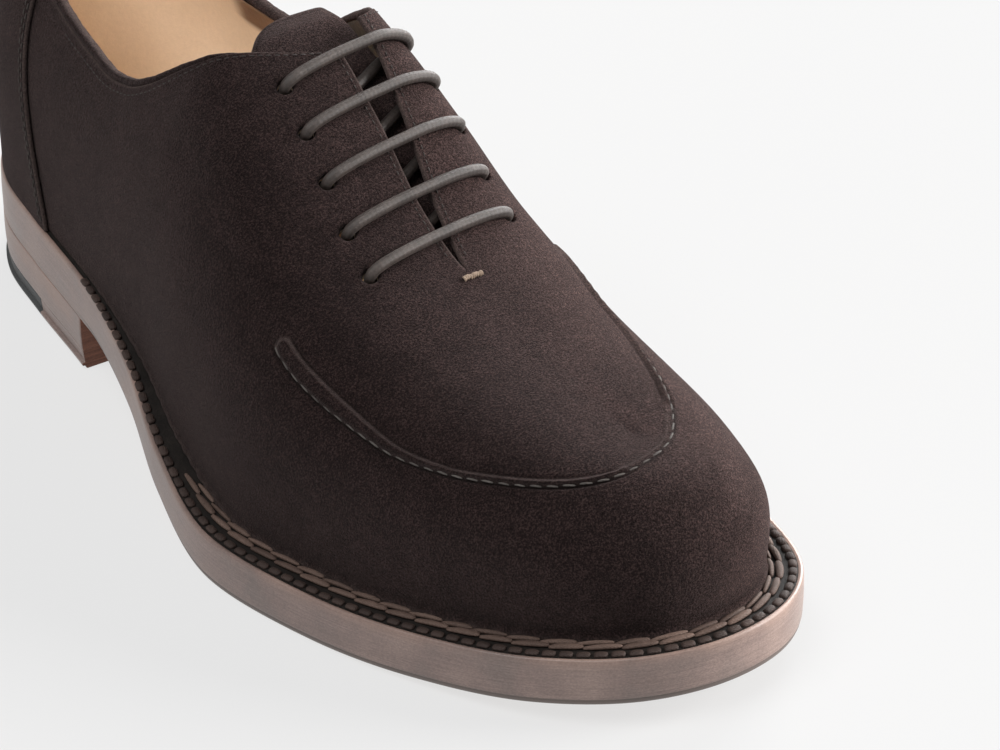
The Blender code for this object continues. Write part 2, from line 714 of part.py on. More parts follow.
clear_scene()
PARTS = new_collection(NAME)
CUTTERS = new_collection("cutters")
CUTTERS.hide_render = True
OUTER = closed_curve(OUTLINE, 12)
if np.cross(OUTER[40] - OUTER[0], OUTER[80] - OUTER[0]) > 0:
    OUTER = OUTER[::-1]
FOOT = inset(OUTER, ledge(OUTER[:, 0]))
MID_S = (OUTER[:, 0].min() + OUTER[:, 0].max()) / 2
MID_T = (OUTER[:, 1].min() + OUTER[:, 1].max()) / 2
LAST = Last(FOOT)
SECTIONS = stations(LAST.first, LAST.final, 48, (TOPLINE[-1][0], FACING_TOP, TACK))
build_bottom()
build_heel()
cut_eyelets(build_upper())
build_tongue()
build_laces()
build_threads()
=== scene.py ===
"""Looks of a right-foot suede oxford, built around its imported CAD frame.

The shoe stands on Z = 0 with its toe toward -Y and the wearer's outer side toward -X.
Shapes are worked out in millimetres as (s, t, z), as in the CAD source: s runs from the back of the
heel to the toe, t toward the outer side of the foot, and z is the height above the ground.
"""

import math

import bmesh
import bpy
import numpy as np
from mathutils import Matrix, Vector
from mathutils.bvhtree import BVHTree
from mathutils.kdtree import KDTree


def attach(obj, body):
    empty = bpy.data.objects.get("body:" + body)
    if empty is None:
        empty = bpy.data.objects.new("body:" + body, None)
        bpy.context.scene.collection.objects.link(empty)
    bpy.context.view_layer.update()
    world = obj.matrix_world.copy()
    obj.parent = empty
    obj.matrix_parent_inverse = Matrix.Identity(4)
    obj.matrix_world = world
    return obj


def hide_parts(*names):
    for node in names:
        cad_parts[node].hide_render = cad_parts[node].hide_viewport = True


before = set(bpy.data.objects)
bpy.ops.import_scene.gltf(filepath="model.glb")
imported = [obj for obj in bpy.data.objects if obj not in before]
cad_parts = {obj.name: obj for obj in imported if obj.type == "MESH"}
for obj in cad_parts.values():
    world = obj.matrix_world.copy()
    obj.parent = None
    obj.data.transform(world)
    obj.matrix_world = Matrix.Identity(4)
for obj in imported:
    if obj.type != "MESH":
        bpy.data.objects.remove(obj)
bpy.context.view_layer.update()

MM = 0.001
BODY = "shoe"

# Sole and heel heights
HEEL_STACK = 15.5
SEAT_RISE = 0.02
BREAST = 82.0
TREAD_START = 188.0
TREAD_END = 214.0
TOE_SPRING = 8.5
SOLE_END = 303.0
OUTSOLE_T = 5.2
MIDSOLE_T = 3.6
WELT_T = 3.3
LAYER_GAP = 0.3
WELT_TOP = OUTSOLE_T + MIDSOLE_T + WELT_T + 2 * LAYER_GAP
FEATHER_UP = WELT_TOP + LAYER_GAP
INSOLE_T = 2.2
SOCK_T = 1.0
TOP_PIECE_T = 5.6
LIFT_PITCH = 3.3
RUBBER_END = 52.0

# Welt ledge, measured in plan from the sole edge to the foot of the upper
LEDGE_HEEL = 2.2
LEDGE_FORE = 9.3
LEDGE_FROM = 76.0
LEDGE_TO = 190.0
WELT_BODY = 14.5
SOLE_SPREAD = 12

# Depths of the layers below the outer face of the upper
UPPER_T = 1.5
LINING_NEAR = 2.25
LINING_DEEP = 3.3
LINING_T = 0.9
COVER_UP = 1.7
COVER_T = 1.3
INSOLE_INSET = 5.1

# Throat, laces and tongue
TACK = 201.0
LINING_SPLIT = 210.0
LINING_BROWN = 104.0
# From this section on, the lining near the facings is painted almost black as shade.
LINING_SHADE = 113.0
LINING_BAND = 8.0
TONGUE_BASE = 208.0
TONGUE_TIP = 118.0
TONGUE_T = 1.6
TONGUE_ROUND = 15.0
FACING_TOP = 136.0
FACING_DROP = 7.0
GAP_HALF = 5.2
EYELETS = 5
EYELET_FIRST = 190.5
EYELET_PITCH = 11.6
EYELET_OFF = {1: (22.8, 0.0), -1: (20.2, 0.6)}
EYELET_R = 1.95
BAR_SKEW = 1.8
LACE_R = 1.5
LACE_STEP = 0.32
LACE_LAY = 5.2
LACE_UNDER = LINING_NEAR + LINING_T + LACE_R + 0.5
LACE_TAIL = ((13.0, 1.15), (5.0, 1.1))
AGLET_GAP = 0.3
AGLET_LENGTH = 6.1

# Sole outline, heel back first, then the outer side to the toe and the inner side back
OUTLINE = (
    (0, 0), (3, 10), (11, 19), (26, 27), (50, 32), (85, 37.5), (121, 46), (151, 56),
    (186, 63), (222, 57), (252, 46.5), (279, 32), (297, 13), (303, -7), (299, -27),
    (285, -43), (259, -53), (225, -57), (195, -54.5), (160, -46), (125, -37), (85, -33),
    (50, -33), (26, -28), (11, -19), (3, -10),
)

# Ridge of the upper: height, sideways place, and how square the sections are on each side
RIDGE_Z = (
    (0, 108), (60, 107), (90, 109), (110, 113), (125, 114), (140, 108.5), (160, 96.5),
    (183, 80.5), (200, 72.5), (225, 64), (250, 59), (266, 55),
)
RIDGE_T = (
    (0, 0), (60, -4), (100, -9.5), (140, -11), (160, -9), (183, -5.5), (200, -4),
    (225, -6), (266, -8),
)
SQUARE_OUT = ((0, 4), (20, 3.6), (50, 2.9), (90, 2.7), (150, 2.8), (220, 2.65), (260, 2.85), (300, 3.1))
SQUARE_IN = (
    (0, 4), (20, 3.6), (50, 2.9), (90, 2.8), (120, 3.6), (160, 3.6), (183, 3.4),
    (220, 2.8), (260, 2.85), (300, 3.1),
)
TOE_POLE = 262.0
TOE_TURN = 200.0
TOE_TURN_SPAN = 96.0
HEEL_POLE = 40.0
HEEL_TURN = 100.0
CORNER_REACH = 16.0
CORNER_ROUNDS = 260
POLE_CALM = 15.0
POLE_ROUNDS = 90
SWELL = 1.6

# Topline height along the rear, and the outer seam of the heel cover
INNER_TOP_EXTRA = -0.5
TOPLINE = ((0, 98), (20, 96.5), (45, 92), (70, 87.5), (86, 86.3), (98, 88.3), (108, 93), (118, 100))
COVER_SEAM = ((0, 58), (0.5, 50), (1, 40))
BINDING_DEPTH = 1.3
BINDING_WIDE = 1.75
BINDING_HIGH = 1.3
BINDING_FADE = 9.0

# Pinched apron seam: place on each section, from the ridge (0) to the welt (1)
APRON_START = 187.5
APRON_OUT = (
    (187, 0.515), (197, 0.535), (212, 0.55), (226, 0.557), (243, 0.528), (258, 0.47),
    (272, 0.395), (281, 0.33), (288, 0.27), (294, 0.19),
)
APRON_IN = (
    (187, 0.47), (210, 0.40), (226, 0.362), (244, 0.305), (257, 0.265), (268, 0.228),
    (282, 0.185), (294, 0.19),
)

# Mesh columns beside the foot and beside the top edge of the upper, and where the upper starts
FOOT_STEPS = (0, 0.3, 0.6, 0.95, 1.3, 1.7, 2.2, 2.8)
RIM_STEPS = (1.0, 0.75, 0.55, 0.4, 0.27, 0.16, 0.08, 0.03, 0)
UPPER_REAR = 34.0

# Stitch sizes: pitch, length and half width
APRON_STITCH = (4.0, 3.3, 0.26)
COVER_STITCH = (2.6, 2.0, 0.23)
COVER_ROWS = (1.2, 2.6)
EDGE_STITCH = (2.1, 1.5, 0.17)
TOP_STITCH_IN = 2.6
FACING_STITCH_IN = 1.9
LIP_PITCH = 5.2
BLOCK_START = 84.0
BRAID_START = 158.0
BRAID_PITCH = 8.7
BLOCK_PITCH = 4.1

CAMERA_AT = (-0.52605, -0.82441, 0.60794)
CAMERA_TO = (0.03099, -0.02888, 0.0244)
LENS = 162.0
FLOOR_GLOW = 0.68
FLOOR_REACH = 4.0
SKY = 0.3


def smooth(x, start, end):
    """Eased step from 0 to 1 between start and end."""
    u = np.clip((np.asarray(x, float) - start) / (end - start), 0, 1)
    return u * u * (3 - 2 * u)


def hump(x, centre, width):
    """Bell curve of height 1."""
    return np.exp(-(((np.asarray(x, float) - centre) / width) ** 2))


def unit(vectors):
    return vectors / np.linalg.norm(vectors, axis=-1)[..., None]


def run_of(points):
    """Distance along a path at each of its points."""
    return np.concatenate([[0], np.cumsum(np.linalg.norm(np.diff(points, axis=0), axis=1))])


def read_path(even, run, points):
    """Points of a path at these distances along it."""
    return np.stack([np.interp(even, run, points[:, k]) for k in range(3)], -1)


def curve_through(x, points):
    """Smooth curve through (x, y) points that never overshoots them."""
    px, py = np.array(points, float).T
    step = np.diff(px)
    slope = np.diff(py) / step
    tangent = np.concatenate([[slope[0]], np.zeros(len(px) - 2), [slope[-1]]])
    for i in range(1, len(px) - 1):
        if slope[i - 1] * slope[i] > 0:
            tangent[i] = 2 * slope[i - 1] * slope[i] / (slope[i - 1] + slope[i])
    x = np.clip(np.asarray(x, float), px[0], px[-1])
    k = np.clip(np.searchsorted(px, x) - 1, 0, len(px) - 2)
    h = step[k]
    u = (x - px[k]) / h
    rise = py[k] * (1 + 2 * u) * (1 - u) ** 2 + py[k + 1] * u * u * (3 - 2 * u)
    return rise + h * tangent[k] * u * (1 - u) ** 2 - h * tangent[k + 1] * u * u * (1 - u)


def round_off(gap, thick):
    """How far each face draws in at this distance from the edge of a sheet, to give it a half-round edge."""
    half = thick / 2
    left = np.clip(1 - gap / half, 0, 1)
    return half - half * np.sqrt(1 - left**2)


def spline_at(p, t, u):
    """Point at time u between the middle two of four points, on the Catmull-Rom curve with times t."""
    a1 = ((t[1] - u) * p[0] + (u - t[0]) * p[1]) / (t[1] - t[0])
    a2 = ((t[2] - u) * p[1] + (u - t[1]) * p[2]) / (t[2] - t[1])
    a3 = ((t[3] - u) * p[2] + (u - t[2]) * p[3]) / (t[3] - t[2])
    b1 = ((t[2] - u) * a1 + (u - t[0]) * a2) / (t[2] - t[0])
    b2 = ((t[3] - u) * a2 + (u - t[1]) * a3) / (t[3] - t[1])
    return ((t[2] - u) * b1 + (u - t[1]) * b2) / (t[2] - t[1])


def closed_curve(points, per_span):
    """Centripetal Catmull-Rom loop through plan points."""
    points = np.array(points, float)
    count = len(points)
    out = []
    for i in range(count):
        p = [points[(i + k) % count] for k in (-1, 0, 1, 2)]
        t = [0.0]
        for a, b in zip(p, p[1:]):
            t.append(t[-1] + np.linalg.norm(b - a) ** 0.5)
        for u in np.linspace(t[1], t[2], per_span, endpoint=False):
            out.append(spline_at(p, t, u))
    return np.array(out)


def inset(loop, distance):
    """Plan loop moved inward, by one distance or by one for each point."""
    ahead = unit(np.roll(loop, -1, 0) - np.roll(loop, 1, 0))
    inward = np.stack([ahead[:, 1], -ahead[:, 0]], 1)
    return loop + inward * np.broadcast_to(distance, len(loop))[:, None]


def sides_of(loop):
    """Outer and inner branch of a plan loop, each from the heel to the toe."""
    loop = np.roll(loop, -int(np.argmin(loop[:, 0])), 0)
    toe = int(np.argmax(loop[:, 0]))
    outer = loop[: toe + 1]
    inner = np.concatenate([loop[toe:], loop[:1]])[::-1]
    return outer, inner


def ledge(s):
    return LEDGE_HEEL + (LEDGE_FORE - LEDGE_HEEL) * smooth(s, LEDGE_FROM, LEDGE_TO)


def under(s):
    """Height of the sole's underside."""
    s = np.asarray(s, float)
    seat = HEEL_STACK + (BREAST - s) * SEAT_RISE
    shank = HEEL_STACK * (1 - smooth(s, BREAST, TREAD_START))
    toe = TOE_SPRING * (np.clip(s - TREAD_END, 0, None) / (SOLE_END - TREAD_END)) ** 2
    return np.where(s < BREAST, seat, np.where(s < TREAD_START, shank, toe))


def ridge_place(s):
    """Ridge position that a section starting at s on the welt reaches."""
    s = np.asarray(s, float)
    past_toe = np.clip((s - TOE_TURN) / TOE_TURN_SPAN, 0, 1)
    past_heel = np.clip((HEEL_TURN - s) / HEEL_TURN, 0, 1)
    toe = TOE_TURN + (TOE_POLE - TOE_TURN) * np.sin(past_toe * math.pi / 2)
    heel = HEEL_TURN - (HEEL_TURN - HEEL_POLE) * np.sin(past_heel * math.pi / 2)
    return np.where(s > TOE_TURN, toe, np.where(s < HEEL_TURN, heel, s))


def section(s, t, side, count):
    """One half section of the upper, from the ridge down to the welt."""
    v = np.linspace(1, 0, count)
    rs = float(ridge_place(s))
    rz = float(curve_through(rs, RIDGE_Z))
    rt = float(curve_through(rs, RIDGE_T))
    power = 2 / float(curve_through(s, SQUARE_OUT if side > 0 else SQUARE_IN))
    across = np.cos(v * math.pi / 2).clip(0) ** power
    up = np.sin(v * math.pi / 2) ** power
    swell = SWELL * np.sin(np.clip(v * 2.2, 0, 1) * math.pi)
    reach = max(math.hypot(s - rs, t - rt), 1e-6)
    foot = float(under(s)) + FEATHER_UP
    return np.stack(
        [
            rs + (s - rs) * (across + swell / reach),
            rt + (t - rt) * (across + swell / reach),
            foot + (rz - foot) * up,
        ],
        1,
    )


class Last:
    """Outer face of the upper as a fine grid that layers and seams are read from."""

    ROWS = 520
    COLUMNS = 150

    def __init__(self, loop):
        outer, inner = sides_of(loop)
        self.first = loop[:, 0].min()
        self.final = loop[:, 0].max()
        turn = np.linspace(0, math.pi, self.ROWS + 1)
        stations = self.first + (self.final - self.first) * (1 - np.cos(turn)) / 2
        grid = np.zeros((self.ROWS + 1, 2 * self.COLUMNS + 1, 3))
        self.lengths = {}
        for side, branch in ((1, outer), (-1, inner)):
            lengths = []
            for row, s in enumerate(stations):
                fine = section(s, float(np.interp(s, branch[:, 0], branch[:, 1])), side, 360)
                run = run_of(fine)
                lengths.append(run[-1])
                even = np.linspace(0, run[-1], self.COLUMNS + 1)
                columns = self.COLUMNS - np.arange(self.COLUMNS + 1) * side
                grid[row, columns] = read_path(even, run, fine)
            self.lengths[side] = np.array(lengths)
        grid[-1] = (grid[-1] + grid[-1, ::-1]) / 2
        grid[0] = (grid[0] + grid[0, ::-1]) / 2
        self.grid = grid
        self.normals = self.outward(grid)

    def outward(self, grid):
        padded = np.concatenate([grid[1:2, ::-1], grid, grid[-2:-1, ::-1]])
        along = padded[2:] - padded[:-2]
        across = np.gradient(grid, axis=1)
        normal = np.cross(along, across)
        normal[-1, self.COLUMNS] = normal[-2, self.COLUMNS]
        normal[0, self.COLUMNS] = normal[1, self.COLUMNS]
        normal = unit(normal)
        if normal[self.ROWS // 2, self.COLUMNS, 2] < 0:
            normal = -normal
        return normal

    def row(self, s):
        u = np.clip((np.asarray(s, float) - self.first) / (self.final - self.first), 0, 1)
        return np.arccos(1 - 2 * u) / math.pi * self.ROWS

    def read(self, table, s, w):
        r = self.row(s)
        c = (1 - np.asarray(w, float)) * self.COLUMNS
        r, c = np.broadcast_arrays(r, c)
        r0 = np.clip(np.floor(r).astype(int), 0, self.ROWS - 1)
        c0 = np.clip(np.floor(c).astype(int), 0, 2 * self.COLUMNS - 1)
        fr = (r - r0)[..., None]
        fc = (c - c0)[..., None]
        low = table[r0, c0] * (1 - fc) + table[r0, c0 + 1] * fc
        high = table[r0 + 1, c0] * (1 - fc) + table[r0 + 1, c0 + 1] * fc
        return low * (1 - fr) + high * fr

    def normal(self, s, w):
        return unit(self.read(self.normals, s, w))

    def at(self, s, w, depth=0.0):
        """Point at section s; w is 0 on the ridge, 1 at the outer foot and -1 at the inner foot."""
        normal = self.normal(s, w)
        return self.read(self.grid, s, w) - normal * np.broadcast_to(depth, normal.shape[:-1])[..., None]

    def half_length(self, s, side):
        """Distance along the surface from the ridge to the foot."""
        return np.interp(self.row(s), np.arange(self.ROWS + 1), self.lengths[side])

    def off_ridge(self, s, distance, side):
        """Signed w that lies this far from the ridge, along the surface."""
        return side * np.asarray(distance) / self.half_length(s, side)

    def at_height(self, s, height, side):
        """Signed w whose point on section s has this height."""
        steps = np.linspace(0, 1, 400)
        found = []
        for a, b in zip(np.ravel(s), np.ravel(height)):
            z = self.at(a, side * steps)[:, 2]
            found.append(np.interp(-b, -z, steps))
        return side * np.array(found)


def place(points):
    """World coordinates of (s, t, z) points."""
    points = np.asarray(points, float)
    return np.stack([MID_T - points[..., 1], MID_S - points[..., 0], points[..., 2]], -1) * MM


def lining_depth(s):
    """Depth of the lining's outer face: deeper where a stiffener lies behind it."""
    deep = np.maximum(1 - smooth(s, 62, 80), smooth(s, 236, 252))
    return LINING_NEAR + (LINING_DEEP - LINING_NEAR) * deep


def throat_edge(s, side):
    """Signed w of the topline and, ahead of it, of the facing edge."""
    s = np.asarray(s, float)
    last_height = TOPLINE[-1][0]
    height = curve_through(s, TOPLINE) + (INNER_TOP_EXTRA * smooth(s, 10, 70) if side < 0 else 0)
    rear = LAST.at_height(np.minimum(s, last_height), height, side)
    top = FACING_TOP + (FACING_DROP if side > 0 else 0)
    corner = (top - s) / (top - last_height)
    half = GAP_HALF * np.clip((TACK - s) / (TACK - FACING_TOP), 0, 1) ** 0.9
    facing = LAST.off_ridge(s, half, side)
    mix = np.clip(corner, 0, 1) ** 0.62
    return np.where(s <= last_height, rear, facing + (rear - facing) * mix)


def stations(start, end, count, fixed=()):
    """Sections spaced evenly by turn, with the fixed ones included."""
    rows = np.linspace(LAST.row(start), LAST.row(end), count)
    turn = rows / LAST.ROWS * math.pi
    even = LAST.first + (LAST.final - LAST.first) * (1 - np.cos(turn)) / 2
    for value in fixed:
        even[np.argmin(abs(even - value))] = value
    return even


# ---------------------------------------------------------------- mesh tools


def quads_of(rows, columns, start=0, around=False):
    """Corner numbers of the quads of a grid, which may close on itself across its columns."""
    ids = start + np.arange(rows * columns).reshape(rows, columns)
    if around:
        ids = np.concatenate([ids, ids[:, :1]], 1)
    return np.stack([ids[:-1, :-1], ids[:-1, 1:], ids[1:, 1:], ids[1:, :-1]], -1).reshape(-1, 4)


def welded(points, quads, places):
    """First copy of each point, and the quads renumbered to those."""
    _, first, index = np.unique(np.round(points, places), axis=0, return_index=True, return_inverse=True)
    return first, index.reshape(-1)[quads]


def body(name, points, quads, finishes, marks=None, finish_of=None):
    """Piece from welded quads. marks holds a number or a vector for each point, by attribute name."""
    first, quads = welded(points, quads, 3)
    faces = []
    chosen = []
    for number, quad in enumerate(quads.tolist()):
        face = [v for i, v in enumerate(quad) if v != quad[i - 1]]
        if len(face) > 2 and len(set(face)) == len(face):
            faces.append(face)
            chosen.append(0 if finish_of is None else int(finish_of[number]))
    mesh = bpy.data.meshes.new(name)
    mesh.from_pydata(place(points[first]).tolist(), [], faces)
    mesh.polygons.foreach_set("material_index", chosen)
    for finish in finishes:
        mesh.materials.append(finish)
    for key, values in (marks or {}).items():
        values = np.asarray(values, np.float32)[first]
        kind, field = ("FLOAT", "value") if values.ndim == 1 else ("FLOAT_VECTOR", "vector")
        mesh.attributes.new(key, kind, "POINT").data.foreach_set(field, values.ravel())
    work = bmesh.new()
    work.from_mesh(mesh)
    open_edges = [e for e in work.edges if e.is_boundary]
    if open_edges:
        bmesh.ops.holes_fill(work, edges=open_edges, sides=0)
    bmesh.ops.recalc_face_normals(work, faces=work.faces)
    for face in work.faces:
        face.smooth = True
    work.to_mesh(mesh)
    work.free()
    obj = bpy.data.objects.new(name, mesh)
    bpy.context.scene.collection.objects.link(obj)
    return obj


def shell(name, sheets, finishes, marks=None):
    """Closed body between outer and inner sheets, given as pairs of grids with the same layout."""
    outer = np.concatenate([a.reshape(-1, 3) for a, _ in sheets])
    inner = np.concatenate([b.reshape(-1, 3) for _, b in sheets])
    quads = []
    start = 0
    for a, _ in sheets:
        quads.append(quads_of(*a.shape[:2], start))
        start += a.shape[0] * a.shape[1]
    first, quads = welded(outer, np.concatenate(quads), 2)
    outer = outer[first]
    inner = inner[first]
    edges = np.sort(np.stack([quads, np.roll(quads, -1, 1)], -1).reshape(-1, 2), 1)
    edges = edges[edges[:, 0] != edges[:, 1]]
    pairs, uses = np.unique(edges, axis=0, return_counts=True)
    rim = pairs[uses == 1]
    count = len(outer)
    rims = np.stack([rim[:, 1], rim[:, 0], rim[:, 0] + count, rim[:, 1] + count], 1)
    everything = np.concatenate([quads, quads[:, ::-1] + count, rims])
    held = {}
    for key, values in (marks or {}).items():
        values = np.concatenate([np.ravel(v) for v in values])[first]
        held[key] = np.concatenate([values, values])
    return body(name, np.concatenate([outer, inner]), everything, finishes, held)


class Pile:
    """Closed tubes gathered into one piece, with fibre coordinates for their material."""

    def __init__(self):
        self.points = []
        self.quads = []
        self.lay = []
        self.count = 0

    def add(self, rings, lay):
        rows, columns = rings.shape[:2]
        self.quads.append(quads_of(rows, columns, self.count, around=True))
        self.points.append(rings.reshape(-1, 3))
        self.lay.append(np.broadcast_to(lay, rings.shape).reshape(-1, 3))
        self.count += rows * columns

    def build(self, name, finish):
        marks = {"lay": np.concatenate(self.lay)}
        return body(name, np.concatenate(self.points), np.concatenate(self.quads), [finish], marks)


def round_turn(sides):
    return np.linspace(0, 2 * math.pi, sides, endpoint=False)


def tube(centre, across, up, x, y):
    """Rings of points round a centre line: x runs along across, and y along up."""
    return centre[:, None] + across[:, None] * x[..., None] + up[:, None] * y[..., None]


def bead(pile, centre, across, up, wide, high, number, sides=12):
    """Adds a stitch: an oval tube along centre whose half width and half height may change."""
    turn = round_turn(sides)
    x = np.cos(turn)
    rings = tube(centre, across, up, wide[:, None] * x, high[:, None] * np.sin(turn))
    run = run_of(centre)
    lay = np.stack(
        [
            np.broadcast_to(run[:, None], (len(run), sides)),
            wide[:, None] * x + 0 * run[:, None],
            np.full((len(run), sides), float(number)),
        ],
        -1,
    )
    pile.add(rings, lay)


def pill(u, power):
    """Half width of a rounded stitch along its length, 0 at both ends."""
    return (1 - abs(2 * u - 1) ** power).clip(0) ** (1 / power)


class Rail:
    """Path with even arc length, its direction, and a sideways vector for each point."""

    def __init__(self, points, up):
        self.run = run_of(points)
        self.points = points
        self.up_vectors = up
        self.length = self.run[-1]

    def at(self, a):
        return read_path(a, self.run, self.points)

    def up(self, a):
        return unit(read_path(a, self.run, self.up_vectors))

    def ahead(self, a, step=0.6):
        return unit(self.at(np.minimum(a + step, self.length)) - self.at(np.maximum(a - step, 0)))

    def across(self, a):
        return unit(np.cross(self.ahead(a), self.up(a)))


# ---------------------------------------------------------------- materials


class Finish:
    """Principled material built from procedural layers in the piece's own coordinates."""

    def __init__(self, name, rough, **sockets):
        self.material = bpy.data.materials.new(name)
        self.material.use_nodes = True
        self.tree = self.material.node_tree
        self.shader = self.tree.nodes["Principled BSDF"]
        self.set(self.shader, "Roughness", rough)
        for key, value in sockets.items():
            self.set(self.shader, key.replace("_", " ").title().replace("Ior", "IOR"), value)
        self.space = self.tree.nodes.new("ShaderNodeTexCoord").outputs["Object"]

    def set(self, node, key, value):
        socket = node.inputs[key]
        if isinstance(value, bpy.types.NodeSocket):
            self.tree.links.new(value, socket)
        elif isinstance(value, tuple) and len(value) == 3 and socket.type == "RGBA":
            socket.default_value = (*value, 1)
        else:
            socket.default_value = value

    def node(self, kind, out=0, inputs=None, **settings):
        node = self.tree.nodes.new("ShaderNode" + kind)
        for key, value in settings.items():
            setattr(node, key, value)
        for key, value in (inputs or {}).items():
            self.set(node, key, value)
        return node.outputs[out]

    def attribute(self, name, out="Fac"):
        return self.node("Attribute", out, attribute_name=name)

    def stretched(self, scale, source=None):
        return self.node("Mapping", 0, {0: source or self.space, 3: scale})

    def noise(self, size, detail=3.0, rough=0.55, source=None, distort=0.0):
        """Noise whose features are about size mm across."""
        inputs = {"Vector": source or self.space, "Scale": 1 / (size * MM), "Detail": detail}
        inputs |= {"Roughness": rough, "Distortion": distort}
        return self.node("TexNoise", 0, inputs)

    def cells(self, size):
        """Distance from the middle of pebbles about size mm across."""
        return self.node("TexVoronoi", "Distance", {"Vector": self.space, "Scale": 1 / (size * MM)})

    def math(self, kind, a, b=0.0):
        return self.node("Math", 0, {0: a, 1: b}, operation=kind)

    def span(self, value, low, high, to_low=0.0, to_high=1.0):
        inputs = {"Value": value, "From Min": low, "From Max": high, "To Min": to_low, "To Max": to_high}
        return self.node("MapRange", 0, inputs, clamp=True)

    def mix(self, share, a, b, kind="MIX"):
        node = self.tree.nodes.new("ShaderNodeMix")
        node.data_type = "RGBA"
        node.blend_type = kind
        self.set(node, 0, share)
        self.set(node, 6, a)
        self.set(node, 7, b)
        return node.outputs[2]

    def ramp(self, value, *stops):
        node = self.tree.nodes.new("ShaderNodeValToRGB")
        while len(node.color_ramp.elements) < len(stops):
            node.color_ramp.elements.new(0.5)
        for element, (position, colour) in zip(node.color_ramp.elements, stops):
            element.position = position
            element.color = (*colour, 1)
        self.set(node, "Fac", value)
        return node.outputs[0]

    def vary(self, share, tint, value, *stops):
        """Tint multiplied by a ramp over value, by this share."""
        return self.mix(share, tint, self.ramp(value, *stops), "MULTIPLY")

    def bump(self, height, depth, below=None):
        """Bump of this depth in mm."""
        inputs = {"Height": height, "Distance": depth * MM, "Strength": 1.0}
        if below is not None:
            inputs["Normal"] = below
        return self.node("Bump", 0, inputs)

    def done(self, colour, normal=None, rough=None):
        self.set(self.shader, "Base Color", colour)
        if normal is not None:
            self.set(self.shader, "Normal", normal)
        if rough is not None:
            self.set(self.shader, "Roughness", rough)
        return self.material


def scaled(colour, factor):
    return tuple(c * factor for c in colour)


def suede(name, tone=1.0):
    """Napped dark brown leather: soft patches, fine fibre grain, paler where it bends and rubs (rubbing and
    painted highlight), painted shade in creases, and painted light toward the inner side.
    """
    base = scaled((0.0185, 0.0117, 0.0112), tone)
    made = Finish(name, 0.95, sheen_weight=0.17, sheen_roughness=0.3, sheen_tint=(0.66, 0.52, 0.5))
    made.set(made.shader, "Specular IOR Level", 0.08)
    patch = made.noise(16, 3, source=made.stretched((1, 0.6, 1)), distort=1.2)
    cloud = made.noise(3.0, 4, 0.6)
    nap = made.noise(0.5, 5, 0.75)
    fleck = made.noise(0.3, 2, 0.5)
    tint = made.ramp(patch, (0.3, scaled(base, 0.8)), (0.7, scaled(base, 1.3)))
    tint = made.vary(0.6, tint, cloud, (0.3, (0.72, 0.7, 0.7)), (0.7, (1.25, 1.25, 1.25)))
    tint = made.vary(
        0.85, tint, nap, (0.36, (0.14, 0.13, 0.13)), (0.5, (0.9, 0.9, 0.9)), (0.62, (3.4, 3.3, 3.2))
    )
    spark = made.span(fleck, 0.58, 0.76, 0, 0.5)
    tint = made.mix(spark, tint, scaled((0.085, 0.06, 0.053), tone))
    # Painted light: brighter toward +X, the inner side that the key lamp lights, and darker toward the outer
    # side.
    painted_side_light = made.span(made.node("SeparateXYZ", 0, {0: made.space}), -0.045, 0.045)
    tint = made.vary(
        1.0, tint, painted_side_light, (0.0, (0.72, 0.7, 0.7)), (0.5, (1.0, 1.0, 1.0)), (1.0, (2.0, 1.95, 1.9))
    )
    # Paler where edges rub and where crests and edges catch the light: rubbing and painted highlight.
    wear_and_highlight = made.math("MULTIPLY", made.attribute("wear_and_highlight"), made.span(nap, 0.3, 0.65, 0.35, 1.0))
    tint = made.mix(wear_and_highlight, tint, scaled((0.11, 0.082, 0.074), tone))
    # Darker in creases and grooves of the leather: painted shade.
    tint = made.mix(made.attribute("crease"), tint, (0.007, 0.005, 0.0045))
    return made.done(tint, made.bump(nap, 0.6, made.bump(cloud, 0.16)))


def sole_edge(name):
    """Burnished sole edge: fine lengthwise grain, warm at the top, a darker bevel along the bottom, and
    painted light that brightens it toward the inner side.
    """
    made = Finish(name, 0.42, coat_weight=0.12, coat_roughness=0.35)
    rise = made.attribute("rise")
    split = made.node("SeparateXYZ", 0, {0: made.space})
    split_y = split.node.outputs[1]
    lay = made.node("CombineXYZ", 0, {0: split, 1: split_y, 2: made.math("MULTIPLY", rise, MM)})
    grain = made.noise(1.0, 4, 0.65, made.stretched((0.07, 0.07, 2.6), lay))
    fleck = made.noise(0.5, 3, 0.6, made.stretched((0.8, 0.8, 1.5), lay))
    cloud = made.noise(16, 3, 0.55, lay)
    tint = made.ramp(
        cloud, (0.3, (0.195, 0.148, 0.13)), (0.5, (0.235, 0.17, 0.148)), (0.7, (0.3, 0.22, 0.188))
    )
    tint = made.vary(0.7, tint, grain, (0.3, (0.72, 0.7, 0.7)), (0.7, (1.2, 1.2, 1.2)))
    tint = made.vary(0.7, tint, fleck, (0.3, (0.68, 0.66, 0.66)), (0.7, (1.24, 1.23, 1.23)))
    warm = made.math("MULTIPLY", made.span(rise, 9.5, 12.2), made.span(cloud, 0.35, 0.6, 0.05, 0.3))
    tint = made.mix(warm, tint, (0.33, 0.205, 0.15))
    # Painted light: brighter toward +X, the inner side that the key lamp lights, and darker toward the outer
    # side.
    lean = made.span(split, -0.05, 0.05)
    tint = made.vary(
        1.0, tint, lean, (0.0, (0.86, 0.86, 0.87)), (0.5, (0.98, 0.98, 0.98)), (1.0, (1.5, 1.48, 1.46))
    )
    tint = made.mix(made.attribute("band"), tint, (0.10, 0.08, 0.07))
    skin = made.bump(fleck, 0.05, made.bump(grain, 0.06))
    return made.done(tint, skin, made.span(cloud, 0.3, 0.7, 0.36, 0.5))


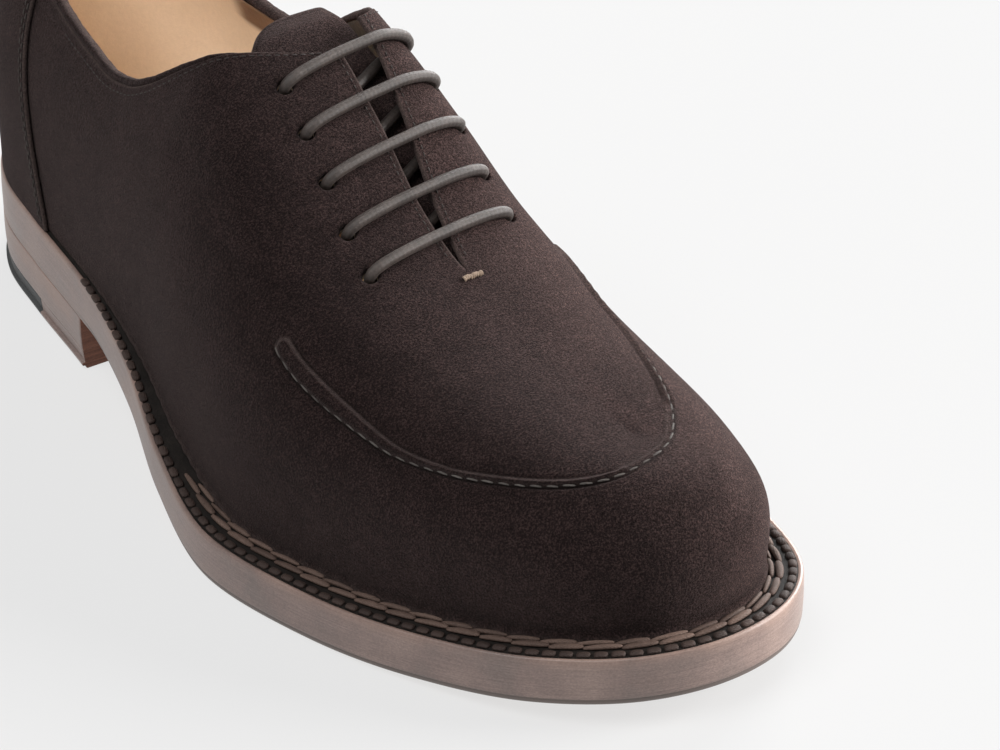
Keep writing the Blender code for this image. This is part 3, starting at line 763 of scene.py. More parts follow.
def tread_leather(name):
    """Oak-bark sole leather on the underside, scuffed where it walks."""
    made = Finish(name, 0.5, coat_weight=0.08)
    cloud = made.noise(22, 4, 0.6)
    pores = made.noise(0.5, 3, 0.6)
    scuff = made.noise(3, 5, 0.7, made.stretched((1.6, 0.25, 1)), 0.6)
    tint = made.ramp(cloud, (0.3, (0.26, 0.165, 0.10)), (0.7, (0.38, 0.255, 0.165)))
    tint = made.vary(0.5, tint, pores, (0.35, (0.75, 0.72, 0.7)), (0.65, (1.12, 1.12, 1.12)))
    tint = made.mix(made.span(scuff, 0.55, 0.72, 0, 0.5), tint, (0.16, 0.11, 0.08))
    skin = made.bump(scuff, 0.08, made.bump(pores, 0.05))
    return made.done(tint, skin, made.span(scuff, 0.4, 0.7, 0.4, 0.62))


def welt_leather(name):
    """Dark waxed welt with a wheeled grain."""
    made = Finish(name, 0.6)
    made.set(made.shader, "Specular IOR Level", 0.2)
    cloud = made.noise(7, 3)
    pores = made.noise(0.55, 3, 0.6)
    tint = made.ramp(cloud, (0.3, (0.009, 0.0075, 0.0068)), (0.7, (0.02, 0.0165, 0.0145)))
    tint = made.vary(0.6, tint, pores, (0.35, (0.6, 0.6, 0.6)), (0.68, (1.5, 1.4, 1.35)))
    return made.done(tint, made.bump(pores, 0.12, made.bump(cloud, 0.2)))


def breast_leather(name):
    """Raw reddish front face of the heel, with its layers just showing."""
    made = Finish(name, 0.7)
    layers = made.noise(1.0, 3, 0.6, made.stretched((0.05, 0.05, 1.4)))
    pores = made.noise(0.6, 3)
    tint = made.ramp(layers, (0.3, (0.07, 0.022, 0.011)), (0.7, (0.16, 0.06, 0.034)))
    tint = made.vary(0.5, tint, pores, (0.3, (0.7, 0.7, 0.7)), (0.7, (1.2, 1.2, 1.2)))
    return made.done(tint, made.bump(pores, 0.1, made.bump(layers, 0.15)))


def smooth_leather(name, low, high, pore=0.45, rough=0.5, crease=0.12):
    """Lining or sock leather: pebbled pores, soft tone changes and faint wrinkles."""
    made = Finish(name, rough, sheen_weight=0.06)
    cloud = made.noise(24, 4, 0.6)
    pores = made.cells(pore)
    fine = made.noise(1.4, 4, 0.65)
    tint = made.ramp(cloud, (0.3, low), (0.7, high))
    tint = made.vary(0.45, tint, fine, (0.3, (0.82, 0.8, 0.78)), (0.7, (1.1, 1.1, 1.1)))
    tint = made.vary(0.35, tint, pores, (0.0, (0.78, 0.75, 0.72)), (0.3, (1, 1, 1)))
    skin = made.bump(fine, crease, made.bump(pores, 0.04))
    return made.done(tint, skin, made.span(fine, 0.3, 0.7, rough - 0.07, rough + 0.1))


def lining_skin(name):
    """Quarter lining: pale round the heel, brown toward the facings and in a strip along the inner top, with
    painted near-black shade nearest the facings.
    """
    made = Finish(name, 0.55, sheen_weight=0.06)
    cloud = made.noise(24, 4, 0.6)
    pores = made.cells(0.5)
    fine = made.noise(1.4, 4, 0.65)
    pale = made.ramp(cloud, (0.3, (0.88, 0.7, 0.52)), (0.7, (0.94, 0.76, 0.58)))
    brown = made.ramp(cloud, (0.3, (0.17, 0.085, 0.043)), (0.7, (0.24, 0.13, 0.068)))
    front = made.attribute("front")
    tint = made.mix(made.span(front, 0.0, 0.5), pale, brown)
    # Above one half, the lining nearest the facings is painted almost black: painted shade.
    tint = made.mix(made.span(front, 0.5, 1.0), tint, (0.022, 0.015, 0.013))
    tint = made.vary(0.35, tint, fine, (0.3, (0.86, 0.84, 0.82)), (0.7, (1.08, 1.08, 1.08)))
    tint = made.vary(0.3, tint, pores, (0.0, (0.78, 0.75, 0.72)), (0.3, (1, 1, 1)))
    skin = made.bump(fine, 0.1, made.bump(pores, 0.04))
    return made.done(tint, skin, made.span(fine, 0.3, 0.7, 0.48, 0.64))


def thread(name, low, high, fibre=0.24, rough=0.62):
    """Waxed thread: twisted fibres that follow each stitch, and a tone of its own for each stitch."""
    made = Finish(name, rough)
    made.set(made.shader, "Specular IOR Level", 0.25)
    lay = made.attribute("lay", "Vector")
    split = made.node("SeparateXYZ", 0, {0: lay})
    across = split.node.outputs[1]
    number = split.node.outputs[2]
    slant = made.math("ADD", across, made.math("MULTIPLY", split, 0.35))
    strands = made.math("SINE", made.math("MULTIPLY", slant, 2 * math.pi / (fibre * 2)))
    own = made.node("TexWhiteNoise", 0, {"W": number}, noise_dimensions="1D")
    fuzz = made.noise(0.28, 3, 0.6)
    patch = made.noise(2.6, 3)
    share = made.math("ADD", made.math("MULTIPLY", own, 0.55), made.math("MULTIPLY", patch, 0.5))
    tint = made.mix(share, low, high)
    tint = made.vary(0.75, tint, fuzz, (0.3, (0.55, 0.54, 0.52)), (0.68, (1.35, 1.32, 1.3)))
    tint = made.mix(made.span(strands, -1, 0.2, 0.22, 0.0), tint, scaled(low, 0.35))
    return made.done(tint, made.bump(strands, 0.02, made.bump(fuzz, 0.12)))


def rubber(name):
    made = Finish(name, 0.62)
    dust = made.noise(5, 4, 0.65)
    grit = made.noise(0.35, 3)
    tint = made.ramp(dust, (0.3, (0.028, 0.03, 0.03)), (0.7, (0.06, 0.062, 0.062)))
    tint = made.vary(0.4, tint, grit, (0.3, (0.7, 0.7, 0.7)), (0.7, (1.3, 1.3, 1.3)))
    return made.done(tint, made.bump(grit, 0.08), made.span(dust, 0.3, 0.7, 0.5, 0.72))


def lace_cotton(name):
    """Round waxed lace: braid bumps are in the mesh, fibres and wax film are here, with painted shade in the
    dips of the braid.
    """
    made = Finish(name, 0.5, sheen_weight=0.05, sheen_roughness=0.4, sheen_tint=(0.8, 0.72, 0.68))
    fuzz = made.noise(0.22, 3, 0.6)
    patch = made.noise(5, 3)
    tint = made.ramp(patch, (0.3, (0.034, 0.0262, 0.0228)), (0.7, (0.068, 0.0525, 0.046)))
    tint = made.vary(0.8, tint, fuzz, (0.3, (0.5, 0.5, 0.5)), (0.7, (1.5, 1.45, 1.42)))
    # Darker where the braid dips: painted shade.
    tint = made.mix(made.attribute("crease"), tint, (0.02, 0.016, 0.014))
    return made.done(tint, made.bump(fuzz, 0.1))


def board(name, low, high, size=1.2, metallic=0.0, rough=0.8):
    """Hidden parts: fibre board, cork, cloth, steel or plastic, each with its own grain."""
    made = Finish(name, rough, metallic=metallic)
    grain = made.noise(size, 5, 0.65)
    return made.done(made.ramp(grain, (0.3, low), (0.7, high)), made.bump(grain, 0.1))


def floor_finish(name):
    made = Finish(name, 0.9)
    made.set(made.shader, "Specular IOR Level", 0.1)
    cloud = made.noise(700, 2)
    made.set(made.shader, "Emission Color", (1.0, 1.0, 1.0))
    made.set(made.shader, "Emission Strength", FLOOR_GLOW)
    return made.done(made.ramp(cloud, (0.3, (0.13, 0.13, 0.13)), (0.7, (0.136, 0.136, 0.136))))


# ---------------------------------------------------------------- upper


def apron_rail():
    """Stitch line of the pinched seam, from the outer side round the toe to the inner side."""
    s = stations(APRON_START, LAST.final, 260)
    out_w = curve_through(s, APRON_OUT)
    in_w = -curve_through(s[::-1], APRON_IN)
    points = np.concatenate([LAST.at(s, out_w), LAST.at(s[::-1], in_w)[1:]])
    return on_surface(soft_corner(points, len(s)))


def soft_corner(points, corner):
    """Path resampled evenly, with the turn at this point rounded off."""
    run = run_of(points)
    turn = run[corner]
    even = np.linspace(0, run[-1], 700)
    points = read_path(even, run, points)
    soft = points.copy()
    share = hump(even, turn, CORNER_REACH)[:, None]
    for _ in range(CORNER_ROUNDS):
        middle = (soft[2:] + soft[:-2]) / 2
        soft[1:-1] += (middle - soft[1:-1]) * share[1:-1]
    return soft


def on_surface(points):
    """Rail of these points, moved to the nearest place on the outer face."""
    rows = slice(int(LAST.row(APRON_START - 12)), None)
    grid = LAST.grid[rows]
    faces = quads_of(*grid.shape[:2]).tolist()
    tree = BVHTree.FromPolygons([tuple(p) for p in grid.reshape(-1, 3)], faces)
    normals = LAST.normals[rows].reshape(-1, 3)
    found = [tree.find_nearest(Vector(p)) for p in points]
    corner = [faces[hit[2]][0] for hit in found]
    return Rail(np.array([hit[0] for hit in found]), normals[corner])


def fold_width(a, total):
    """Width of the pinched fold: broad at its ends and narrow round the toe."""
    return 1.9 + 2.7 * (1 - smooth(a, 14, 62)) + 1.4 * (1 - smooth(total - a, 10, 46))


def fold_lift(points, inside, rail):
    """Height, paler rubbed and lit edges (painted highlight) and painted crease shade that the pinched seam
    gives each of these points.
    """
    tree = KDTree(len(rail.points))
    for number, point in enumerate(rail.points):
        tree.insert(point, number)
    tree.balance()
    nearest = np.array([tree.find(p)[1] for p in points])
    gap = points - rail.points[nearest]
    ahead = rail.ahead(rail.run[nearest])
    forward = (gap * ahead).sum(1)
    a = rail.run[nearest] + forward
    beside = np.sqrt(np.maximum((gap**2).sum(1) - forward**2, 0))
    q = np.where(inside, beside, -beside)
    total = rail.length
    reach = 2.3
    end = smooth(total - a, 0, reach)
    width = fold_width(a, total)
    height = 0.95 + 0.5 * (1 - smooth(a, 20, 70))
    radius = width / 2
    from_axis = np.where(a < radius, np.hypot(a - radius, q - radius), abs(q - radius))
    body_of_fold = 1 - smooth(from_axis, radius - 1.0, radius + 0.15)
    lift = height * body_of_fold * (0.72 + 0.28 * np.clip(q / width, 0, 1))
    pucker = np.cos(2 * math.pi * a / APRON_STITCH[0])
    lift += 0.09 * pucker * hump(q, 0.6, 1.0)
    outside = from_axis - radius
    under_seam = (q < radius) & (a > 0.4 * radius)
    lift -= np.where(under_seam, 0.42, 0.14) * hump(outside, 0.35, 0.38)
    above = smooth(q, radius - 0.6, radius + 0.6)
    rough_edge = 0.6 + 0.4 * np.sin(a * 2.3 + np.sin(a * 0.9) * 2)
    # Paler along the crest of the fold and at its rounded end: rubbing and painted highlight.
    wear_and_highlight = (0.42 * above * rough_edge + 0.12) * hump(outside, -0.3, 0.3)
    # Darker in the grooves beside the fold: painted shade.
    crease = (0.9 - 0.5 * above) * hump(outside, 0.2, 0.42) + 0.4 * (1 - above) * hump(outside, -0.8, 0.7)
    tip = hump(from_axis, radius, 0.35) * (1 - smooth(a, 0.6, radius + 0.6))
    return lift * end, np.maximum(wear_and_highlight * end, 0.95 * tip), crease * end * (1 - tip)


def upper_columns(s, side):
    """Distance from the ridge for every column of a half of the upper, closer together at seams."""
    length = LAST.half_length(s, side)
    edge = np.where(s < TACK, abs(throat_edge(s, side)), 0) * length
    seam = curve_through(s, APRON_OUT if side > 0 else APRON_IN) * length
    ready = smooth(s, 150, 184)
    low = length - FOOT_STEPS[-1] - 0.6
    high = edge + RIM_STEPS[0] + 0.3
    start = low + (high - low) * 0.4
    start += (seam + 2.4 - start) * ready
    stop = low + (high - low) * 0.75
    stop += (seam - 6.6 - stop) * ready
    spans = ((low, start, 30), (start, stop, 34), (stop, high, 30))
    parts = [length - f for f in FOOT_STEPS]
    for a, b, count in spans:
        parts += [a + (b - a) * u for u in np.linspace(0, 1, count, endpoint=False)]
    parts += [high] + [edge + d for d in RIM_STEPS]
    return np.stack(parts, 1), length, edge, seam


def foot_lip(s, from_foot, side):
    """How far the turned-out foot of the upper stands off, with its scalloped edge."""
    wave = 0.5 + 0.5 * np.cos(2 * math.pi * s / LIP_PITCH + side * (1 - smooth(s, 240, 290)))
    reach = 0.1 * ledge(s)
    return reach * (0.75 + 0.35 * wave) * (1 - smooth(from_foot, 0.0, 2.3 + 0.5 * wave))


def half_upper(side, rail):
    s = stations(UPPER_REAR, LAST.final, 380, (TOPLINE[-1][0], FACING_TOP, TACK))
    x, length, edge, seam = upper_columns(s, side)
    rows = np.broadcast_to(s[:, None], x.shape)
    w = side * x / length[:, None]
    surface = LAST.at(rows, w)
    lift = foot_lip(rows, length[:, None] - x, side)
    # Paler along the turned-out foot: rubbing and painted highlight.
    wear_and_highlight = 0.35 * hump(length[:, None] - x, 0.3, 0.8) * smooth(rows, 60, 90)
    # Darker just above the turned-out foot, in its inner corner: painted shade.
    crease = 0.3 * hump(length[:, None] - x, 2.8, 0.8) * smooth(rows, 60, 90)
    near = (rows > APRON_START - 6) & (abs(x - seam[:, None]) < 8.5)
    inside = (x < seam[:, None])[near]
    up, worn_and_lit, dark = fold_lift(surface[near], inside, rail)
    lift[near] += up
    wear_and_highlight[near] = np.maximum(wear_and_highlight[near], worn_and_lit)
    crease[near] = np.maximum(crease[near], dark)
    open_edge = 1 - smooth(rows, TACK - 2.5, TACK - 0.5)
    from_edge = x - edge[:, None]
    trim = round_off(from_edge, UPPER_T) * open_edge
    # Paler along the open top edge: rubbing and painted highlight.
    wear_and_highlight = np.maximum(wear_and_highlight, 0.7 * hump(from_edge, 0.25, 0.45) * open_edge)
    outer = LAST.at(rows, w, trim - lift)
    inner = LAST.at(rows, w, UPPER_T - trim)
    return (outer, inner), wear_and_highlight, crease


def cut_eyelets(targets):
    """Round holes with a soft flared rim, through the facings and their lining."""
    profile = ((-3.0, 3.4), (-0.9, 3.0), (-0.1, 2.45), (0.5, 2.1), (1.2, EYELET_R), (5.5, EYELET_R))
    points = []
    quads = []
    sides = 28
    turn = round_turn(sides)
    count = 0
    for side in (1, -1):
        s, w = eyelets(side)
        for a, b in zip(s, w):
            normal = LAST.normal(a, b)
            across = np.cross(normal, (1.0, 0.0, 0.0))
            across /= np.linalg.norm(across)
            other = np.cross(normal, across)
            rows = [(profile[0][0], 0.0), *profile, (profile[-1][0], 0.0)]
            for depth, radius in rows:
                ring = np.outer(np.cos(turn), across) + np.outer(np.sin(turn), other)
                points.append(LAST.at(a, b, depth) + ring * radius)
            quads.append(quads_of(len(rows), sides, count, around=True))
            count += len(rows) * sides
    cutter = body("eyelet_cutter", np.concatenate(points), np.concatenate(quads), [])
    for target in targets:
        cut = target.modifiers.new("eyelets", "BOOLEAN")
        cut.operation = "DIFFERENCE"
        cut.solver = "EXACT"
        cut.object = cutter
        apply_modifiers(target)
    bpy.data.objects.remove(cutter)


def stitch_row(pile, rail, stitch, shift, arch, sink, first, steps, sides):
    """Adds a row of thread stitches along a rail, each arched up from the leather."""
    pitch, length, half = stitch
    for number in range(int(rail.length / pitch)):
        u = np.linspace(0, 1, steps)
        a = (number + 0.5 + shift) * pitch + (u - 0.5) * length
        up = rail.up(a)
        centre = rail.at(a) + up * (arch * np.sin(u * math.pi) - sink)[:, None]
        shape = half * pill(u, 3.0)
        bead(pile, centre, rail.across(a), up, shape, shape, number + first, sides)


def apply_modifiers(obj):
    """Replaces the piece's mesh by the one its modifiers make."""
    graph = bpy.context.evaluated_depsgraph_get()
    made = bpy.data.meshes.new_from_object(obj.evaluated_get(graph), depsgraph=graph)
    obj.modifiers.clear()
    obj.data = made


def eyelets(side):
    """(s, w) of the eyelets on one side, from the throat up."""
    s = EYELET_FIRST - EYELET_PITCH * np.arange(EYELETS) + BAR_SKEW * side
    first, narrowing = EYELET_OFF[side]
    return s, LAST.off_ridge(s, first - narrowing * np.arange(EYELETS), side)


def calm_pole(piece):
    """Evens out the surface where the sections of the toe meet."""
    work = bmesh.new()
    work.from_mesh(piece.data)
    pole = Vector(place(LAST.at(LAST.final, 0.0, 0.0)))
    near = [v for v in work.verts if (v.co - pole).length < POLE_CALM * MM]
    for _ in range(POLE_ROUNDS):
        bmesh.ops.smooth_vert(work, verts=near, factor=0.5, use_axis_x=True, use_axis_y=True, use_axis_z=True)
    work.to_mesh(piece.data)
    work.free()


def build_wholecut(finish, rail):
    halves = [half_upper(side, rail) for side in (1, -1)]
    for one, other in zip(halves[0][0] + halves[0][1:], halves[1][0] + halves[1][1:]):
        one[-1] = (one[-1] + other[-1]) / 2
        other[-1] = one[-1]
    # Marks for the suede: paler rubbed and lit edges (painted highlight) and painted shade in creases.
    marks = {"wear_and_highlight": [h[1] for h in halves], "crease": [h[2] for h in halves]}
    piece = shell("wholecut_suede", [h[0] for h in halves], [finish], marks)
    calm_pole(piece)
    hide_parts("wholecut_upper", "apron_ridge")
    return piece


def build_apron_stitches(finish, rail):
    """Short thread stitches in the groove below the fold."""
    pitch, length, half = APRON_STITCH
    pile = Pile()
    for number in range(int(rail.length / pitch)):
        u = np.linspace(0, 1, 13)
        a = (number + 0.5) * pitch + (u - 0.5) * length
        sink = 0.16 * math.sin(number * 0.9) + 0.1 * math.sin(number * 2.3)
        arch = np.sin(u * math.pi)
        up = rail.up(a)
        across = rail.across(a)
        side = 0.35 - 0.3 * u
        centre = rail.at(a) + up * (0.02 + 0.2 * arch - 0.12 + sink * 0.6)[:, None] + across * side[:, None]
        bead(pile, centre, across, up, half * pill(u, 3.0), half * pill(u, 3.0), number, 8)
    return pile.build("apron_stitches", finish)


def build_edge_stitches(finish):
    """Fine stitch line just inside the topline and the facing edges."""
    pile = Pile()
    for side in (1, -1):
        s = stations(COVER_SEAM[0][1] + 2, TACK - 3, 260)
        facing = smooth(s, TOPLINE[-1][0], FACING_TOP)
        away = TOP_STITCH_IN + (FACING_STITCH_IN - TOP_STITCH_IN) * facing
        away = side * away / LAST.half_length(s, side)
        w = throat_edge(s, side) + away
        rail = Rail(LAST.at(s, w, 0.03), LAST.normal(s, w))
        stitch_row(pile, rail, EDGE_STITCH, 0, 0.14, 0.03, 300 * side, 7, 6)
    return pile.build("edge_stitches", finish)


def cover_sheet():
    """Arrays of s, w and distance to the seam edge for the piece wrapped round the heel."""
    s_rows = []
    w_rows = []
    gaps = []
    for level in np.concatenate([[0, 0.004, 0.012], np.linspace(0.025, 0.975, 64), [0.988, 0.996, 1]]):
        edge = float(curve_through(level, COVER_SEAM))
        near = edge - np.array([1.4, 1.0, 0.7, 0.45, 0.25, 0.1, 0.03, 0])
        s_half = np.concatenate([stations(LAST.first, edge - 2.0, 60), near])
        for_side = []
        for side in (1, -1):
            top = throat_edge(s_half, side)
            for_side.append(side + (top - side) * level)
        s_rows.append(np.concatenate([s_half[::-1], s_half[1:]]))
        w_rows.append(np.concatenate([for_side[0][::-1], for_side[1][1:]]))
        gap = edge - s_half
        gaps.append(np.concatenate([gap[::-1], gap[1:]]))
    return np.array(s_rows), np.array(w_rows), np.array(gaps)


def build_heel_cover(finish):
    s, w, gap = cover_sheet()
    trim = round_off(gap, COVER_T)
    seat = 0.22 * sum(hump(gap, row, 0.45) for row in COVER_ROWS)
    outer = LAST.at(s, w, -COVER_UP + trim + seat)
    inner = LAST.at(s, w, COVER_T - COVER_UP - trim)
    # Paler at the seam edge (rubbing and painted highlight) and darker along the stitch grooves (painted
    # shade).
    wear_and_highlight = 0.7 * hump(gap, 0.2, 0.4)
    crease = 0.55 * sum(hump(gap, row, 0.35) for row in COVER_ROWS)
    piece = shell("heel_cover_suede", [(outer, inner)], [finish], {"wear_and_highlight": [wear_and_highlight], "crease": [crease]})
    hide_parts("heel_cover")
    return piece


def build_cover_stitches(finish, side, where):
    """Two rows of stitches along a seam of the heel cover."""
    pile = Pile()
    level = np.linspace(0.03, 0.975, 120)
    for row, back in enumerate(COVER_ROWS):
        s = curve_through(level, COVER_SEAM) - back
        w = side + (throat_edge(s, side) - side) * level
        rail = Rail(LAST.at(s, w, -COVER_UP - 0.02), LAST.normal(s, w))
        stitch_row(pile, rail, COVER_STITCH, 0.3 * row, 0.16, 0.04, 100 * row, 9, 8)
    piece = pile.build(f"cover_stitches_{where}", finish)
    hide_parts(f"cover_stitching_{where}_1", f"cover_stitching_{where}_2")
    return piece


def topline_points():
    """Centre line of the binding on the top edge, from facing to facing round the heel."""
    s = stations(LAST.first, FACING_TOP - 4, 150)
    halves = []
    for side in (1, -1):
        edge = throat_edge(s, side)
        centre = LAST.at(s, edge, BINDING_DEPTH)
        below = LAST.at(s, edge + side * 0.03, BINDING_DEPTH)
        up = unit(centre - below)
        lift = 0.9 * (1 - smooth(s, TOPLINE[-1][0] - 4, FACING_TOP - 6))
        halves.append((centre + up * lift[:, None], up))
    points = np.concatenate([halves[0][0][::-1], halves[1][0][1:]])
    ups = np.concatenate([halves[0][1][::-1], halves[1][1][1:]])
    return points, ups


def build_binding(finish):
    """Rolled suede binding over the top edge, thinning out onto the facings."""
    points, ups = topline_points()
    rail = Rail(points, ups)
    a = np.linspace(0, rail.length, 620)
    end = np.minimum(a, rail.length - a)
    size = np.sqrt(np.clip(end / BINDING_FADE, 0, 1))
    up = rail.up(a)
    across = rail.across(a)
    turn = round_turn(18)
    wobble = 1 + 0.03 * np.sin(a * 0.8) + 0.02 * np.sin(a * 2.1 + 1)
    wide = BINDING_WIDE * size * wobble
    high = BINDING_HIGH * size * wobble
    rings = tube(rail.at(a), across, up, wide[:, None] * np.cos(turn), high[:, None] * np.sin(turn))
    quads = quads_of(len(a), len(turn), 0, around=True)
    # Top of the roll paler (painted highlight) and its underside darker (painted shade).
    wear_and_highlight = 0.5 * np.clip(np.sin(turn), 0, 1) ** 3 + 0 * a[:, None]
    marks = {"wear_and_highlight": wear_and_highlight.ravel(), "crease": (0.4 * np.clip(-np.sin(turn), 0, 1) + 0 * a[:, None]).ravel()}
    piece = body("topline_roll", rings.reshape(-1, 3), quads, [finish], marks)
    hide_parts("topline_binding")
    return piece


def build_quarter_lining(finish):
    sheets = []
    brown = []
    s = stations(LAST.first, LINING_SPLIT - 0.3, 150, (TOPLINE[-1][0], FACING_TOP, TACK))
    for side in (1, -1):
        edge = throat_edge(s, side)
        u = np.concatenate([np.linspace(0, 0.97, 44), [0.98, 0.99, 0.995, 1]])
        length = LAST.half_length(s, side)
        edge = edge + side * 1.5 * smooth(s, 119, 130) * (1 - smooth(s, TACK - 8, TACK)) / length
        w = side * 0.98 + (edge[:, None] - side * 0.98) * u
        depth = lining_depth(s)[:, None] + 0 * w
        # Brown from the first step on; from the second step the lining nearest the facings is painted almost
        # black: painted shade.
        brown_then_shade = smooth(s, LINING_BROWN, LINING_BROWN + 0.8) + smooth(s, LINING_SHADE, LINING_SHADE + 1.5)
        run = abs(w - edge[:, None]) * length[:, None]
        band = 1 - smooth(run, LINING_BAND - 0.6, LINING_BAND + 0.6)
        band = band * smooth(s, 62, 70)[:, None] * (side < 0)
        brown.append(np.maximum(brown_then_shade[:, None], band) / 2)
        left = np.clip((u - 0.975) / 0.025, 0, 1)
        trim = 0.35 * left**2 * (s < TACK - 2)[:, None]
        rows = np.broadcast_to(s[:, None], w.shape)
        sheets.append((LAST.at(rows, w, depth + trim), LAST.at(rows, w, depth + LINING_T - trim)))
    piece = shell("quarter_lining_leather", sheets, [finish], {"front": brown})
    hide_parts("quarter_lining")
    return piece


# ---------------------------------------------------------------- tongue and laces


def tongue_depth(s):
    """Depth of the tongue's outer face: it dips under the crossing laces."""
    start = LINING_NEAR + LINING_T + 0.4
    deep = LACE_UNDER + LACE_R + 0.8
    return start + (deep - start) * (1 - smooth(s, 195, 206))


def tongue_half(s):
    """Half width of the tongue: a round tip, then a slow taper into the vamp."""
    tip = np.clip((s - TONGUE_TIP) / TONGUE_ROUND, 0, 1)
    cap = (1 - (1 - tip) ** 2.3) ** (1 / 2.3)
    return cap * curve_through(s, ((TONGUE_TIP, 24), (133, 25), (160, 24), (188, 17.5), (TONGUE_BASE, 15)))


def build_tongue(suede_finish, lining_finish):
    tip = TONGUE_ROUND * np.linspace(0, 1, 26) ** 2
    s = np.concatenate(
        [TONGUE_TIP + 0.05 + tip, np.linspace(TONGUE_TIP + TONGUE_ROUND + 0.6, TONGUE_BASE, 90)]
    )
    half = tongue_half(s)
    v = np.sin(np.linspace(-1, 1, 61) * math.pi / 2)
    x = half[:, None] * v
    w = np.where(x > 0, LAST.off_ridge(s[:, None], abs(x), 1), LAST.off_ridge(s[:, None], abs(x), -1))
    rows = np.broadcast_to(s[:, None], w.shape)
    rim = np.minimum(half[:, None] - abs(x), (s - s[0])[:, None])
    made = []
    specs = (
        ("tongue_suede", 0, TONGUE_T, suede_finish, "tongue"),
        ("tongue_lining_leather", TONGUE_T + LAYER_GAP, LINING_T, lining_finish, "tongue_lining"),
    )
    for name, top, thick, finish, node in specs:
        trim = round_off(rim, thick)
        depth = (tongue_depth(s) + top)[:, None]
        seam = 0.18 * hump(rim, 2.4, 0.4) if node == "tongue" else 0
        outer = LAST.at(rows, w, depth + trim + seam)
        inner = LAST.at(rows, w, depth + thick - trim)
        # Rim paler (rubbing and painted highlight) and darker along the seam groove (painted shade).
        marks = {"wear_and_highlight": [0.8 * hump(rim, 0.3, 0.6)], "crease": [0.5 * hump(rim, 2.4, 0.4)]}
        piece = shell(name, [(outer, inner)], [finish], marks)
        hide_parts(node)
        made.append(piece)
    return made


def lace_points():
    """Lace centre line: straight bars over the facings and slanting runs below them."""
    outer = eyelets(1)
    inner = eyelets(-1)
    route = []

    def over(i):
        u = np.array([0.0, 0.0, 0.012, 0.05, 0.13, 0.3, 0.5, 0.7, 0.87, 0.95, 0.988, 1.0, 1.0])
        lift = np.array([-3.6, -1.4, 0.25, 1.2, 1.52, 1.6, 1.75, 1.6, 1.52, 1.2, 0.25, -1.4, -3.6])
        s = inner[0][i] + (outer[0][i] - inner[0][i]) * u
        w = inner[1][i] + (outer[1][i] - inner[1][i]) * u
        return list(LAST.at(s, w, -lift))

    def below(i, j):
        u = np.array([0.04, 0.2, 0.5, 0.8, 0.96])
        s = outer[0][i] + (inner[0][j] - outer[0][i]) * u
        w = outer[1][i] + (inner[1][j] - outer[1][i]) * u
        return list(LAST.at(s, w, LACE_UNDER))

    s, w = inner[0][0], inner[1][0]
    route += [LAST.at(s - away, w * wider, LACE_UNDER) for away, wider in LACE_TAIL]
    for i in range(EYELETS):
        route += over(i)
        if i < EYELETS - 1:
            route += below(i, i + 1)
    s, w = outer[0][-1], outer[1][-1]
    route += [LAST.at(s + away, w * wider, LACE_UNDER) for away, wider in LACE_TAIL[::-1]]
    return np.array(route)


def rounded(points, step):
    """Centripetal Catmull-Rom curve through the points, resampled evenly."""
    padded = np.concatenate([[2 * points[0] - points[1]], points, [2 * points[-1] - points[-2]]])
    out = []
    for i in range(1, len(padded) - 2):
        p = padded[i - 1 : i + 3]
        apart = np.maximum(np.linalg.norm(np.diff(p, axis=0), axis=1), 1e-4)
        t = np.concatenate([[0], np.cumsum(apart**0.5)])
        for u in np.linspace(t[1], t[2], 14, endpoint=False):
            out.append(spline_at(p, t, u))
    out = np.array(out + [points[-1]])
    run = run_of(out)
    even = np.linspace(0, run[-1], int(run[-1] / step))
    return read_path(even, run, out)


def frames_along(line):
    """Two sideways vectors for each point of a line, turned as little as possible."""
    ahead = unit(np.gradient(line, axis=0))
    side = np.cross(ahead[0], (0.0, 0.0, 1.0))
    sides = []
    for direction in ahead:
        side = side - direction * (side @ direction)
        side = side / np.linalg.norm(side)
        sides.append(side)
    sides = np.array(sides)
    return sides, np.cross(ahead, sides)


def build_lace(finish):
    """Round braided lace: two sets of strands that cross over each other."""
    line = rounded(lace_points(), LACE_STEP)
    side, other = frames_along(line)
    sides = 40
    turn = round_turn(sides)
    run = np.arange(len(line)) * LACE_STEP
    strands = 8
    lead = 2 * math.pi / LACE_LAY
    left = np.cos(strands * turn[None] / 2 + lead * run[:, None] * 2)
    right = np.cos(strands * turn[None] / 2 - lead * run[:, None] * 2)
    weave = left * right
    radius = LACE_R * (0.95 + 0.035 * weave)
    end = np.minimum(run, run[-1] - run)
    radius = radius * np.sqrt(np.clip(end / 0.8, 0, 1))[:, None]
    rings = tube(line, side, other, radius * np.cos(turn), radius * np.sin(turn))
    quads = quads_of(len(line), sides, 0, around=True)
    # Painted shade: darker where the strands dip between crossings.
    crease = (0.4 * smooth(-weave, 0.1, 0.9)).ravel()
    piece = body("lace_cord", rings.reshape(-1, 3), quads, [finish], {"crease": crease})
    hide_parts("lace")
    return piece


